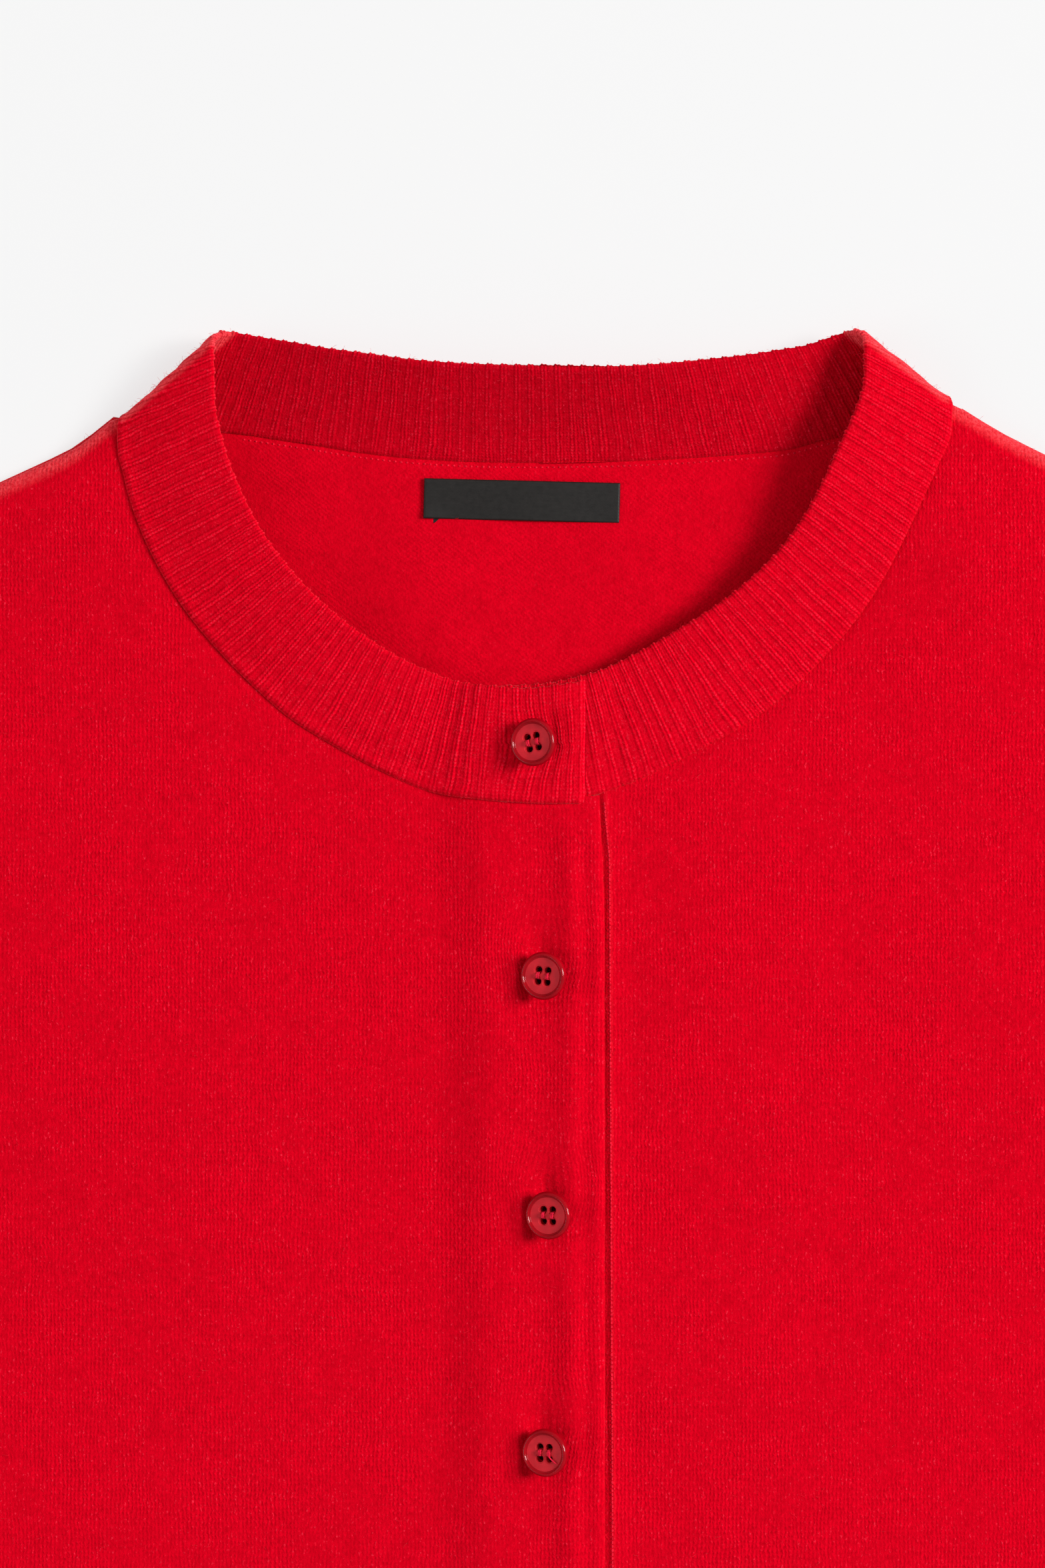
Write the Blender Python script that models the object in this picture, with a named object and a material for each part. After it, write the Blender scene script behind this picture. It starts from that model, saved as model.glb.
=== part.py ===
"""Button cardigan in fine knit, laid flat on a table and buttoned up.

Each piece that is knitted or cut and then joined is one closed solid: the back,
the two fronts, the two sleeves, the ribbed hems and cuffs, the neckband, the
neck label and the buttons.  The wearer's right front laps over the left one.

All sizes are in millimetres and become metres when the meshes are made.
X runs across the garment, Y runs up it towards the neck, Z is up.  While the
pieces are worked out, x = 0 is the centre front and y = 0 is level with the
neck ends of the shoulder seams.  At the end everything is moved together so
that the origin is under the middle of the whole garment.
"""
import bpy
import bmesh
import numpy as np
from collections import namedtuple
from math import cos, pi, radians, sin
from mathutils import Matrix

# ------------------------------------------------------------ driving sizes
WALL = 1.8              # thickness of the plain knit
LAYER = 0.3             # clearance between layers that lie on each other
SEAM = 0.35             # clearance between pieces that are linked edge to edge
FRONT_LOW = WALL + LAYER                # underside of the fronts
LAP_RISE = WALL + LAYER                 # how far the upper front climbs on the lap
LAP_WIDE = 24.0         # how far the two fronts overlap
LAP_CLIMB = (26.8, 40.0)                # where it climbs, in from its free edge
LOFT = 3.0              # how far the fronts stand off the back beside the neck
LOFT_AT = (97.0, -16.0)                 # centre of that loft, same both sides
LOFT_REACH = 24.0
EDGE_WALL = 0.9         # thickness left at a rounded outer edge

HEM_TOP_Y = -448.0      # where the plain knit ends and the hem rib starts
HEM_DEEP = 50.0
UNDERARM = (228.0, -230.0)
SHOULDER_TIP = (188.0, -40.0)
HEM_HALF = 224.0        # half width at the hem

RIB_PITCH = 3.3         # one rib and its furrow on the neckband
HEM_RIB_PITCH = 3.6
BAND_WALL = 1.5
RIB_RISE = 0.3          # half the step between rib and furrow
BAND_BACK_Z = 1.4       # height of the back part of the band at its seam
FOLD_R = (1.6, 3.4)     # radius of the shoulder folds: at the seam, at the free edge
TIP_Z = 5.2             # lower layer of the band at the tips of the folds

BUTTON_R = 5.7
BUTTON_TALL = 2.5
BUTTON_TILT = 22.0      # degrees, right side up
HOLE_R = 0.85
HOLE_OUT = 1.25         # from the button's middle to a hole, both ways

# The neckband in sections, from the centre front round one shoulder.  Columns:
# the seam end (x, y), the free end (x, y), and how much higher the free end is.
Section = namedtuple("Section", "seam_x seam_y free_x free_y rise")
BAND_RIGHT = [Section(*row) for row in (
    (10.6, -90.0, 10.6, -60.4, 2.0),
    (-3.0, -89.7, -2.4, -62.2, 2.0),
    (-16.1, -88.7, -13.2, -61.6, 2.2),
    (-27.5, -86.7, -21.0, -60.3, 2.8),
    (-38.1, -82.1, -29.0, -57.2, 3.5),
    (-49.1, -76.2, -36.8, -53.1, 4.2),
    (-59.4, -69.8, -44.2, -48.2, 4.8),
    (-67.6, -62.8, -50.5, -43.1, 5.2),
    (-75.7, -54.7, -56.4, -37.4, 5.6),
    (-83.1, -46.0, -61.8, -31.0, 5.9),
    (-88.5, -38.0, -66.3, -24.6, 6.1),
    (-93.3, -29.1, -70.1, -17.3, 6.2),
    (-97.2, -19.3, -73.6, -8.8, 6.2),
    (-99.5, -10.8, -75.7, -1.2, 6.4),
    (-100.6, -5.7, -76.8, 4.2, 6.8),
)]
BAND_LEFT = [Section(*row) for row in (
    (-13.6, -90.2, -13.4, -61.8, 2.0),
    (0.5, -89.9, 0.0, -61.2, 2.0),
    (13.0, -87.8, 8.2, -59.6, 2.2),
    (24.8, -83.7, 15.2, -57.5, 2.8),
    (36.7, -77.9, 24.1, -53.1, 3.6),
    (49.5, -70.7, 33.0, -48.0, 4.4),
    (59.6, -62.9, 41.9, -42.3, 5.1),
    (68.4, -54.1, 49.6, -36.2, 5.6),
    (75.5, -45.7, 56.4, -29.3, 6.0),
    (81.5, -36.5, 61.9, -21.7, 6.3),
    (86.3, -27.2, 66.3, -13.6, 6.5),
    (90.9, -17.3, 70.3, -4.9, 6.6),
    (94.7, -9.0, 73.8, 3.0, 6.8),
    (97.4, -2.6, 75.8, 9.4, 7.0),
)]
# The back of the band, from the wearer's right shoulder to the left one.
# The last column is the height of the free end itself.
BAND_BACK = [Section(*row) for row in (
    (-70.9, -1.8, -63.2, 20.6, 6.4),
    (-63.5, -2.9, -57.6, 19.6, 7.4),
    (-54.7, -4.2, -50.4, 18.2, 8.8),
    (-44.7, -5.8, -41.5, 16.9, 10.2),
    (-31.6, -7.3, -29.2, 15.1, 11.6),
    (-16.0, -8.2, -15.4, 14.1, 12.4),
    (0.2, -8.4, -0.2, 13.7, 12.6),
    (18.4, -8.1, 15.8, 13.5, 12.4),
    (31.9, -7.5, 27.7, 14.2, 11.6),
    (45.8, -6.6, 39.5, 15.5, 10.2),
    (58.4, -5.4, 49.4, 16.8, 8.6),
    (66.8, -3.2, 56.9, 18.1, 7.4),
    (74.0, -1.7, 62.7, 19.2, 6.4),
)]
# The shoulder folds: where the folded edge meets the seam, and its tip.
Fold = namedtuple("Fold", "seam_x seam_y tip_x tip_y side")
FOLD_RIGHT = Fold(-101.3, -0.2, -74.9, 22.7, -1)
FOLD_LEFT = Fold(99.8, 3.7, 76.3, 22.2, 1)

# Sleeve in sections, for x > 0: its upper fold (x, y), its lower fold (x, y),
# and how far round the armhole's curve the section still bends.
SleeveRow = namedtuple("SleeveRow", "upper_x upper_y lower_x lower_y bend")
SLEEVE = [SleeveRow(*row) for row in (
    (188.0, -40.0, 228.0, -230.0, 1.00),
    (209.0, -48.5, 233.0, -235.0, 0.85),
    (233.7, -60.3, 237.8, -240.5, 0.60),
    (277.0, -85.3, 257.3, -261.5, 0.24),
    (316.9, -115.4, 282.7, -288.7, 0.05),
    (352.3, -150.8, 310.0, -318.1, 0.00),
    (389.2, -198.0, 337.4, -347.5, 0.00),
    (427.3, -256.8, 366.7, -379.0, 0.00),
    (464.8, -321.7, 396.0, -410.4, 0.00),
    (501.2, -387.3, 423.3, -439.8, 0.00),
)]
CUFF_LONG = 60.0
CUFF_HALF = (43.5, 41.5)                # half width at the sleeve, at the wrist

# Buttons down the centre front: x, y and turn in degrees.
ButtonRow = namedtuple("ButtonRow", "x y turn")
BUTTONS = [ButtonRow(*row) for row in (
    (-1.4, -75.2, 12.0),
    (1.0, -130.5, -5.0),
    (2.2, -187.2, 0.0),
    (1.4, -243.4, 0.0),
    (2.6, -299.6, 6.0),
    (3.2, -355.7, -4.0),
    (3.4, -411.8, 2.0),
    (3.8, -468.0, -3.0),
)]

LABEL_SIZE = (46.8, 9.6, 0.6)
LABEL_AT = (-4.6, -17.5)
LABEL_TURN = -1.4

# Colour, roughness and metallic value of each material.
MATERIALS = {
    "knit": ((0.66, 0.004, 0.012), 0.90, 0.0),
    "rib": ((0.62, 0.004, 0.014), 0.90, 0.0),
    "button": ((0.40, 0.010, 0.022), 0.22, 0.0),
    "label": ((0.022, 0.018, 0.016), 0.50, 0.0),
}


# ------------------------------------------------------------------- curves
def ease(value):
    """A smooth step from 0 to 1."""
    value = np.clip(value, 0.0, 1.0)
    return value * value * (3.0 - 2.0 * value)


def through(rows, at):
    """Points on the smooth curve through the rows, at row numbers such as 2.5."""
    rows = np.asarray(rows, float)
    at = np.clip(np.asarray(at, float), 0.0, len(rows) - 1.0)
    first = np.clip(np.floor(at).astype(int), 0, len(rows) - 2)
    part = (at - first)[..., None]
    slopes = np.gradient(rows, axis=0)
    p, q = rows[first], rows[first + 1]
    a, b = slopes[first], slopes[first + 1]
    return ((2 * part ** 3 - 3 * part ** 2 + 1) * p + (part ** 3 - 2 * part ** 2 + part) * a
            + (3 * part ** 2 - 2 * part ** 3) * q + (part ** 3 - part ** 2) * b)


def along(rows, shares):
    """Points on the curve through the rows, at shares of its length."""
    fine = through(rows, np.linspace(0, len(rows) - 1, 40 * len(rows)))
    run = np.concatenate([[0], np.cumsum(np.hypot(*np.diff(fine[:, :2], axis=0).T))])
    shares = np.asarray(shares, float) * run[-1]
    return np.stack([np.interp(shares, run, fine[:, k]) for k in range(fine.shape[1])], axis=-1)


def straight(start, end, shares):
    shares = np.asarray(shares, float)[:, None]
    return np.asarray(start, float) * (1 - shares) + np.asarray(end, float) * shares


# ------------------------------------------------------------- the garment's shape
def lap_edge_x(y):
    """The free edge of the upper front, which leans a little down the garment."""
    return np.interp(y, [-500.0, -258.0, -89.7], [15.6, 14.4, 10.4])


def under_edge_x(y):
    """The edge of the left front, hidden under the right one."""
    return lap_edge_x(y) - LAP_WIDE


def lap_rise(x, y):
    """How far the upper front has climbed onto the under one."""
    inward = lap_edge_x(y) - x
    return LAP_RISE * ease((LAP_CLIMB[1] - inward) / (LAP_CLIMB[1] - LAP_CLIMB[0]))


def loft(x, y):
    """How far the fronts stand off the back at (x, y)."""
    away = ((np.abs(x) - LOFT_AT[0]) ** 2 + (y - LOFT_AT[1]) ** 2) / (2 * LOFT_REACH ** 2)
    return LOFT * np.exp(-away)


def armhole(shares, side, out=0.0):
    """The armhole from the underarm up to the shoulder tip, moved out by a gap."""
    rows = [(UNDERARM[0] + out, UNDERARM[1] + out), (205.0 + out, -213.0 + out),
            (190.5 + out, -186.0 + out / 2), (183.5 + out, -150.0), (181.5 + out, -110.0),
            (183.5 + out, -74.0), (SHOULDER_TIP[0] + out, SHOULDER_TIP[1])]
    return along(rows, shares) * np.array([side, 1.0])


# ------------------------------------------------------------------- solids
pieces = []             # (name, points, faces, material)


def add(name, points, faces, material):
    """Keep a solid, with its faces turned outwards."""
    points = np.asarray(points, float)
    volume = 0.0
    for face in faces:
        a = points[face[0]]
        for k in range(1, len(face) - 1):
            volume += np.dot(a, np.cross(points[face[k]], points[face[k + 1]]))
    if volume < 0:
        faces = [tuple(reversed(face)) for face in faces]
    pieces.append((name, points, faces, material))


def add_wall(name, low, high, material):
    """A closed wall between two grids of points, each rows x columns x 3."""
    rows, columns = low.shape[:2]
    points = np.concatenate([high.reshape(-1, 3), low.reshape(-1, 3)])
    under = rows * columns

    def at(i, j):
        return i * columns + j

    faces = []
    for i in range(rows - 1):
        for j in range(columns - 1):
            a, b, c, d = at(i, j), at(i, j + 1), at(i + 1, j + 1), at(i + 1, j)
            faces.append((a, b, c, d))
            faces.append((d + under, c + under, b + under, a + under))
    rim = [at(0, j) for j in range(columns)] + [at(i, columns - 1) for i in range(1, rows)]
    rim += [at(rows - 1, j) for j in range(columns - 2, -1, -1)]
    rim += [at(i, 0) for i in range(rows - 2, 0, -1)]
    for k, a in enumerate(rim):
        b = rim[(k + 1) % len(rim)]
        faces.append((b, a, a + under, b + under))
    add(name, points, faces, material)


def add_tube(name, outer, inner, material):
    """A closed wall between an outer and an inner set of rings, open at both ends."""
    rings, count = outer.shape[:2]
    points = np.concatenate([outer.reshape(-1, 3), inner.reshape(-1, 3)])
    inside = rings * count
    faces = []
    for i in range(rings - 1):
        for j in range(count):
            k = (j + 1) % count
            a, b, c, d = i * count + j, i * count + k, (i + 1) * count + k, (i + 1) * count + j
            faces.append((a, b, c, d))
            faces.append((d + inside, c + inside, b + inside, a + inside))
    for j in range(count):
        k = (j + 1) % count
        faces.append((j, j + inside, k + inside, k))
        last = (rings - 1) * count
        faces.append((k + last, k + last + inside, j + last + inside, j + last))
    add(name, points, faces, material)


def patch(bottom, top, left, right, across, up):
    """A grid of plan points that fills in between four boundary lines."""
    s = np.asarray(across, float)[None, :, None]
    t = np.asarray(up, float)[:, None, None]
    corners = ((1 - s) * (1 - t) * bottom[0] + s * (1 - t) * bottom[-1]
               + (1 - s) * t * top[0] + s * t * top[-1])
    return ((1 - t) * bottom[None] + t * top[None]
            + (1 - s) * left[:, None] + s * right[:, None] - corners)


# Rows of the panels, as shares of their height.  The side seam ends at UNDERARM_ROW
# and the shares of the armhole's length above it are the sleeves' as well.
UNDERARM_ROW = 0.52
HOLE_SHARES = np.array([0.015, 0.19, 0.38, 0.57, 0.75, 0.88, 0.96, 0.99, 1.0])
ROWS = np.concatenate([[0, 0.18, 0.36, UNDERARM_ROW],
                       UNDERARM_ROW + (1 - UNDERARM_ROW) * HOLE_SHARES])
ROUND = np.array([0.97, 0.70, 0])       # fullness of the wall at its last points
ROW_EDGE = np.concatenate([np.ones(len(ROWS) - 3), ROUND])


def side_line(side, edge_x):
    """The side seam and the armhole, at the panel's rows."""
    seam = straight((edge_x * side, HEM_TOP_Y), (UNDERARM[0] * side, UNDERARM[1]),
                    ROWS[:4] / UNDERARM_ROW)
    return np.concatenate([seam, armhole(HOLE_SHARES, side)])


def front(name, side, sections, fold, edge_x, lifted):
    """One front: plan from its four edges, then two faces a wall apart."""
    neck = [(s.seam_x, s.seam_y) for s in sections] + [(fold.seam_x, fold.seam_y)]
    neck = np.array(neck, float)
    away = np.gradient(neck, axis=0)
    away = np.stack([away[:, 1], -away[:, 0]], axis=1) * side
    neck += away / np.linalg.norm(away, axis=1)[:, None] * (SEAM + 0.5)
    steps = np.array([0, 1.6, 6.0, 15.0, LAP_CLIMB[0], 33.0, LAP_CLIMB[1]])
    neck_long = np.hypot(*np.diff(neck, axis=0).T).sum()
    neck_shares = np.concatenate([steps, np.linspace(steps[-1], neck_long, 10)[1:]]) / neck_long
    slope_shares = [0.22, 0.60, 0.955, 0.99, 1]
    tip = np.array([SHOULDER_TIP[0] * side, SHOULDER_TIP[1]])
    top = np.concatenate([along(neck, neck_shares), straight(neck[-1], tip, slope_shares)])
    hem_wide = abs(HEM_HALF * side - edge_x(HEM_TOP_Y))
    widths = np.concatenate([steps / hem_wide, np.linspace(steps[-1] / hem_wide, 0.57, 10)[1:],
                             [0.67, 0.83, 0.98, 0.995, 1]])
    bottom = straight((edge_x(HEM_TOP_Y), HEM_TOP_Y), (HEM_HALF * side, HEM_TOP_Y), widths)
    heights = HEM_TOP_Y + (neck[0, 1] - HEM_TOP_Y) * ROWS
    left = np.stack([edge_x(heights), heights], axis=1)
    left[-1] = neck[0]
    plan = patch(bottom, top, left, side_line(side, HEM_HALF), widths, ROWS)
    x, y = plan[..., 0], plan[..., 1]
    outer_edge = np.concatenate([np.ones(len(widths) - 3), ROUND])
    shoulder = np.ones_like(x)
    shoulder[:, len(neck_shares) - 1:] = ROW_EDGE[:, None]
    full = np.minimum(outer_edge[None, :], shoulder)
    free = np.ones(len(widths))
    free[:2] = 0, 0.75
    low = FRONT_LOW + loft(x, y) * full + (lap_rise(x, y) if lifted else 0) + 0.35 * (1 - free)
    high = low + EDGE_WALL + (WALL - EDGE_WALL) * full - 0.8 * (1 - free)
    add_wall(name, np.dstack([x, y, low]), np.dstack([x, y, high]), "knit")


def back():
    """The back, whose underside is flat on the table."""
    seam = [(FOLD_RIGHT.seam_x, FOLD_RIGHT.seam_y)]
    seam += [(s.seam_x, s.seam_y) for s in BAND_BACK]
    seam += [(FOLD_LEFT.seam_x, FOLD_LEFT.seam_y)]
    seam = np.array(seam) - np.array([0, SEAM + 0.15])
    seam[0] += (-0.8, -0.4)
    seam[-1] += (0.8, -0.4)
    neck = along(seam, np.linspace(0, 1, 15))
    tips = [np.array([SHOULDER_TIP[0] * side, SHOULDER_TIP[1]]) for side in (-1, 1)]
    slope = np.array([0, 0.012, 0.05, 0.35, 0.70])
    top = np.concatenate([straight(tips[0], neck[0], slope), neck,
                          straight(neck[-1], tips[1], 1 - slope[::-1])])
    shares = np.array([0, 0.003, 0.012, 0.09, 0.18])
    widths = np.concatenate([shares, np.linspace(0.27, 0.73, 15), 1 - shares[::-1]])
    bottom = straight((-HEM_HALF, HEM_TOP_Y), (HEM_HALF, HEM_TOP_Y), widths)
    plan = patch(bottom, top, side_line(-1, HEM_HALF), side_line(1, HEM_HALF), widths, ROWS)
    x, y = plan[..., 0], plan[..., 1]
    rounded = np.concatenate([ROUND[::-1], np.ones(len(widths) - 6), ROUND])
    shoulder = np.ones_like(x)
    shoulder[:, :len(slope) + 1] = shoulder[:, -len(slope) - 1:] = ROW_EDGE[:, None]
    full = np.minimum(rounded[None, :], shoulder)
    low = (WALL - EDGE_WALL) * (1 - full)
    high = np.full_like(x, WALL)
    add_wall("back", np.dstack([x, y, low]), np.dstack([x, y, high]), "knit")


# ---------------------------------------------------------------- neckband
def unfold(point, fold):
    """Lay a plan point of the lower layer out flat beyond its shoulder fold."""
    start = np.array([fold.seam_x, fold.seam_y])
    line = np.array([fold.tip_x, fold.tip_y]) - start
    length = np.linalg.norm(line)
    line = line / length
    out = np.array([line[1], -line[0]]) * (1 if fold.side > 0 else -1)
    share = np.clip(np.dot(point - start, line) / length, 0, 1)
    radius = FOLD_R[0] + (FOLD_R[1] - FOLD_R[0]) * share
    inside = -np.dot(point - start, out)
    return point + out * (2 * inside + (pi - 2) * radius)


def fold_over(flat, upper, lower, fold):
    """Take flat points round the shoulder fold: plan, then height between two layers."""
    start = np.array([fold.seam_x, fold.seam_y])
    line = np.array([fold.tip_x, fold.tip_y]) - start
    length = np.linalg.norm(line)
    line = line / length
    out = np.array([line[1], -line[0]]) * (1 if fold.side > 0 else -1)
    share = np.clip((flat - start) @ line / length, 0, 1)
    radius = FOLD_R[0] + (FOLD_R[1] - FOLD_R[0]) * share
    beyond = (flat - start) @ out
    angle = np.clip((beyond + radius) / radius, 0, pi)
    round_to = -radius * (1 - np.sin(angle))
    round_to = np.where(angle >= pi, -(beyond - (pi - 2) * radius), round_to)
    round_to = np.where(angle <= 0, beyond, round_to)
    plan = flat + (round_to - beyond)[..., None] * out
    height = lower + (upper - lower) * (1 + np.cos(angle)) / 2
    return np.concatenate([plan, height[..., None]], axis=-1)


def band_rows(sections, fold, lifted):
    """The band laid out flat past one fold, with the heights of its two layers."""
    rows = []
    top_z = [TIP_Z + 2 * FOLD_R[1], BAND_BACK_Z + 2 * FOLD_R[0]]
    for s in sections:
        lift = lap_rise(s.seam_x, s.seam_y) / LAP_RISE if lifted else 0.0
        seam_z = FRONT_LOW + WALL / 2 + 0.3 + loft(s.seam_x, s.seam_y) + lift * (LAP_RISE + 0.5)
        rows.append([s.seam_x, s.seam_y, s.free_x, s.free_y, seam_z, seam_z + s.rise,
                     BAND_BACK_Z, TIP_Z])
    backs = BAND_BACK if fold.side < 0 else BAND_BACK[::-1]
    for s in backs:
        seam = unfold(np.array([s.seam_x, s.seam_y]), fold)
        free = unfold(np.array([s.free_x, s.free_y]), fold)
        rows.append([*seam, *free, top_z[1], top_z[0], BAND_BACK_Z, s.rise])
    rows = np.array(rows)
    gap = len(sections)
    middle = []
    for share in (0.25, 0.5, 0.75):
        step = rows[gap - 1] * (1 - share) + rows[gap] * share
        step[5] = rows[gap - 1][5] * (1 - share) + top_z[0] * share
        middle.append(step)
    return np.concatenate([rows[:gap], middle, rows[gap:]])


def band_point(number, across, rows, fold):
    """Points of the band's middle surface, at row numbers and shares across it."""
    values = through(rows, number)
    across = np.asarray(across, float)
    share = across[..., None]
    flat = values[..., 0:2] * (1 - share) + values[..., 2:4] * share
    bulge = 0.35 * np.sin(pi * across)
    upper = values[..., 4] * (1 - across) + values[..., 5] * across + bulge
    back_curve = across ** 1.35
    lower = values[..., 6] * (1 - back_curve) + values[..., 7] * back_curve
    return fold_over(flat, upper, lower, fold)


def band_half(rows, fold, steps):
    """Middle points and outward directions of one half of the band."""
    across = np.array([0, 0.10, 0.40, 0.72, 1.0])
    number, share = np.meshgrid(steps, across, indexing="ij")
    small = 0.02
    centre = band_point(number, share, rows, fold)
    last = len(rows) - 1.0
    long_way = (band_point(np.minimum(number + small, last), share, rows, fold)
                - band_point(np.maximum(number - small, 0), share, rows, fold))
    wide_way = (band_point(number, np.minimum(share + small, 1), rows, fold)
                - band_point(number, np.maximum(share - small, 0), rows, fold))
    facing = np.cross(wide_way, long_way) * (1 if fold.side < 0 else -1)
    facing /= np.linalg.norm(facing, axis=-1)[..., None]
    return centre, facing


def even_steps(rows, last, pitch):
    """Row numbers spaced evenly along the middle of the band."""
    fine = np.linspace(0, last, 60 * len(rows))
    values = through(rows, fine)
    middle = (values[:, 0:2] + values[:, 2:4]) / 2
    run = np.concatenate([[0], np.cumsum(np.hypot(*np.diff(middle, axis=0).T))])
    count = int(round(run[-1] / pitch)) * 2
    return np.interp(np.linspace(0, run[-1], count + 1), run, fine)


def neckband():
    """One ribbed strip from centre front to centre front, folded at both shoulders."""
    halves = []
    for sections, fold, lifted in ((BAND_RIGHT, FOLD_RIGHT, True), (BAND_LEFT, FOLD_LEFT, False)):
        rows = band_rows(sections, fold, lifted)
        centre_back = len(sections) + 3 + 6
        steps = even_steps(rows, centre_back, RIB_PITCH)
        halves.append(band_half(rows, fold, steps))
    centre = np.concatenate([halves[0][0], halves[1][0][-2::-1]])
    facing = np.concatenate([halves[0][1], halves[1][1][-2::-1]])
    count = len(centre)
    ribs = RIB_RISE * (-1.0) ** np.arange(count)[:, None] * np.array([0, 1, 1, 1, 1])[None, :]
    high = centre + facing * (ribs + BAND_WALL / 2)[..., None]
    low = centre + facing * (ribs - BAND_WALL / 2)[..., None]
    add_wall("neckband", low, high, "rib")
    return centre


# ---------------------------------------------------------- sleeves and cuffs
def tube_ring(upper, lower, shape, ribs=0):
    """Outer and inner points round one flattened section of a sleeve or cuff.

    shape gives plan points for shares from the upper fold to the lower one.
    """
    width = np.linalg.norm(np.subtract(upper, lower))
    top = FRONT_LOW + WALL
    middle = WALL + LAYER / 2

    def line(marks):
        return np.array([[*shape(np.clip(d / width if d >= 0 else 1 + d / width, 0, 1)), z]
                         for d, z in marks])

    if ribs:
        across = np.linspace(2.2, width - 2.2, 2 * ribs + 1)
        tops = [(d, top + (RIB_RISE if k % 2 else -RIB_RISE)) for k, d in enumerate(across)]
        unders = [(d, 0.0) for d in across[::-1]]
    else:
        across = width * (1 - HOLE_SHARES[-3::-1])
        tops = [(d, top) for d in across]
        unders = [(d, 0.0) for d in across[::-1]]
    near = 0.7
    outer = [(0, middle), (near, top - 0.55), *tops, (width - near, top - 0.55)]
    outer += [(width, middle), (width - near, 0.55), *unders, (near, 0.55)]
    count = len(outer)
    half = count // 2
    inner = []
    for k, (d, z) in enumerate(outer):
        d = min(max(d, WALL), width - WALL)
        if k in (0, half):
            z = middle
        elif k < half:
            z = FRONT_LOW
        else:
            z = WALL
        inner.append((d, z))
    inner[1] = (WALL + 0.25, FRONT_LOW)
    inner[half - 1] = (width - WALL - 0.25, FRONT_LOW)
    inner[half + 1] = (width - WALL - 0.25, WALL)
    inner[-1] = (WALL + 0.25, WALL)
    return line(outer), line(inner)


def sleeve(name, side):
    """A sleeve as a flattened tube, from its armhole seam to its cuff."""
    gap = SEAM + 0.1
    edge = armhole(np.linspace(1, 0, 41), 1, out=gap)
    base = straight(edge[0], edge[-1], np.linspace(0, 1, 41))
    outer, inner = [], []
    for row in SLEEVE:
        upper = np.array([row.upper_x + gap, row.upper_y])
        lower = np.array([row.lower_x + gap, row.lower_y + gap])

        def shape(share, upper=upper, lower=lower, bend=row.bend):
            k = np.linspace(0, 1, 41)
            bow = [np.interp(share, k, (edge - base)[:, axis]) for axis in (0, 1)]
            return (upper * (1 - share) + lower * share + np.array(bow) * bend) * [side, 1]

        ring = tube_ring(upper, lower, shape)
        outer.append(ring[0])
        inner.append(ring[1])
    add_tube(name, np.array(outer), np.array(inner), "knit")


def cuff(name, side):
    """A ribbed cuff, ribs on its upper face and flat underneath."""
    last = SLEEVE[-1]
    upper = np.array([last.upper_x, last.upper_y])
    lower = np.array([last.lower_x, last.lower_y])
    across = (upper - lower) / np.linalg.norm(upper - lower)
    down = np.array([across[1], -across[0]])
    centre = (upper + lower) / 2 + np.array([SEAM + 0.1, 0]) + down * SEAM
    width = 2 * CUFF_HALF[0]
    count = int(width // HEM_RIB_PITCH)
    outer, inner = [], []
    for far, half in ((0.0, CUFF_HALF[0]), (CUFF_LONG, CUFF_HALF[1])):
        start = centre + down * far + across * half
        end = centre + down * far - across * half

        def shape(share, start=start, end=end):
            return (start * (1 - share) + end * share) * [side, 1]

        ring = tube_ring(start, end, shape, ribs=count)
        outer.append(ring[0])
        inner.append(ring[1])
    add_tube(name, np.array(outer), np.array(inner), "rib")


# -------------------------------------------------------------------- hems
def hem(name, side, edge_x, lifted):
    """The ribbed hem of one front."""
    top_y, low_y = HEM_TOP_Y - SEAM, HEM_TOP_Y - HEM_DEEP
    start, end = edge_x(HEM_TOP_Y), HEM_HALF * side
    count = int(round(abs(end - start) / HEM_RIB_PITCH)) * 2
    x = np.linspace(start, end, count + 1)
    rib = RIB_RISE * (-1.0) ** np.arange(count + 1)
    if not lifted:
        rib = rib * ease((x - start) / 4 - 7) - RIB_RISE * ease((start - x) / 4 + 8)
    low = FRONT_LOW + (lap_rise(x, HEM_TOP_Y) if lifted else 0 * x)
    high = low + WALL + rib
    high[-1] -= 0.9
    high[0] -= 0.4
    low_grid = np.array([[(a, top_y, z) for a, z in zip(x, low)],
                         [(a, low_y, z) for a, z in zip(x, low)]])
    high_grid = np.array([[(a, top_y, z) for a, z in zip(x, high)],
                          [(a, low_y, z) for a, z in zip(x, high)]])
    add_wall(name, low_grid, high_grid, "rib")


def hem_back():
    """The hem of the back, which lies flat on the table under the front hems."""
    top_y, low_y = HEM_TOP_Y - SEAM, HEM_TOP_Y - HEM_DEEP
    inset = [0, 1.2, 4.0]
    half = [-HEM_HALF + d for d in inset]
    x = np.array(half + list(np.linspace(-180, 180, 7)) + [-d for d in half[::-1]])
    full = np.array([0, 0.70, 0.97] + [1.0] * 7 + [0.97, 0.70, 0])
    under = (WALL - EDGE_WALL) * (1 - full)
    low = np.array([[(a, y, z) for a, z in zip(x, under)] for y in (top_y, low_y)])
    high = low.copy()
    high[..., 2] = WALL
    add_wall("hem_back", low, high, "rib")


# ----------------------------------------------------------- label and buttons
def label():
    """The neck label, tacked to the inside of the back."""
    wide, deep, thick = LABEL_SIZE
    turn = radians(LABEL_TURN)
    points = []
    for v in (-deep / 2, deep / 2):
        for u in np.linspace(-wide / 2, wide / 2, 5):
            points.append((LABEL_AT[0] + u * cos(turn) - v * sin(turn),
                           LABEL_AT[1] + u * sin(turn) + v * cos(turn), WALL + LAYER))
    low = np.array(points).reshape(2, 5, 3)
    high = low + np.array([0, 0, thick])
    add_wall("neck_label", low, high, "label")


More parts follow.
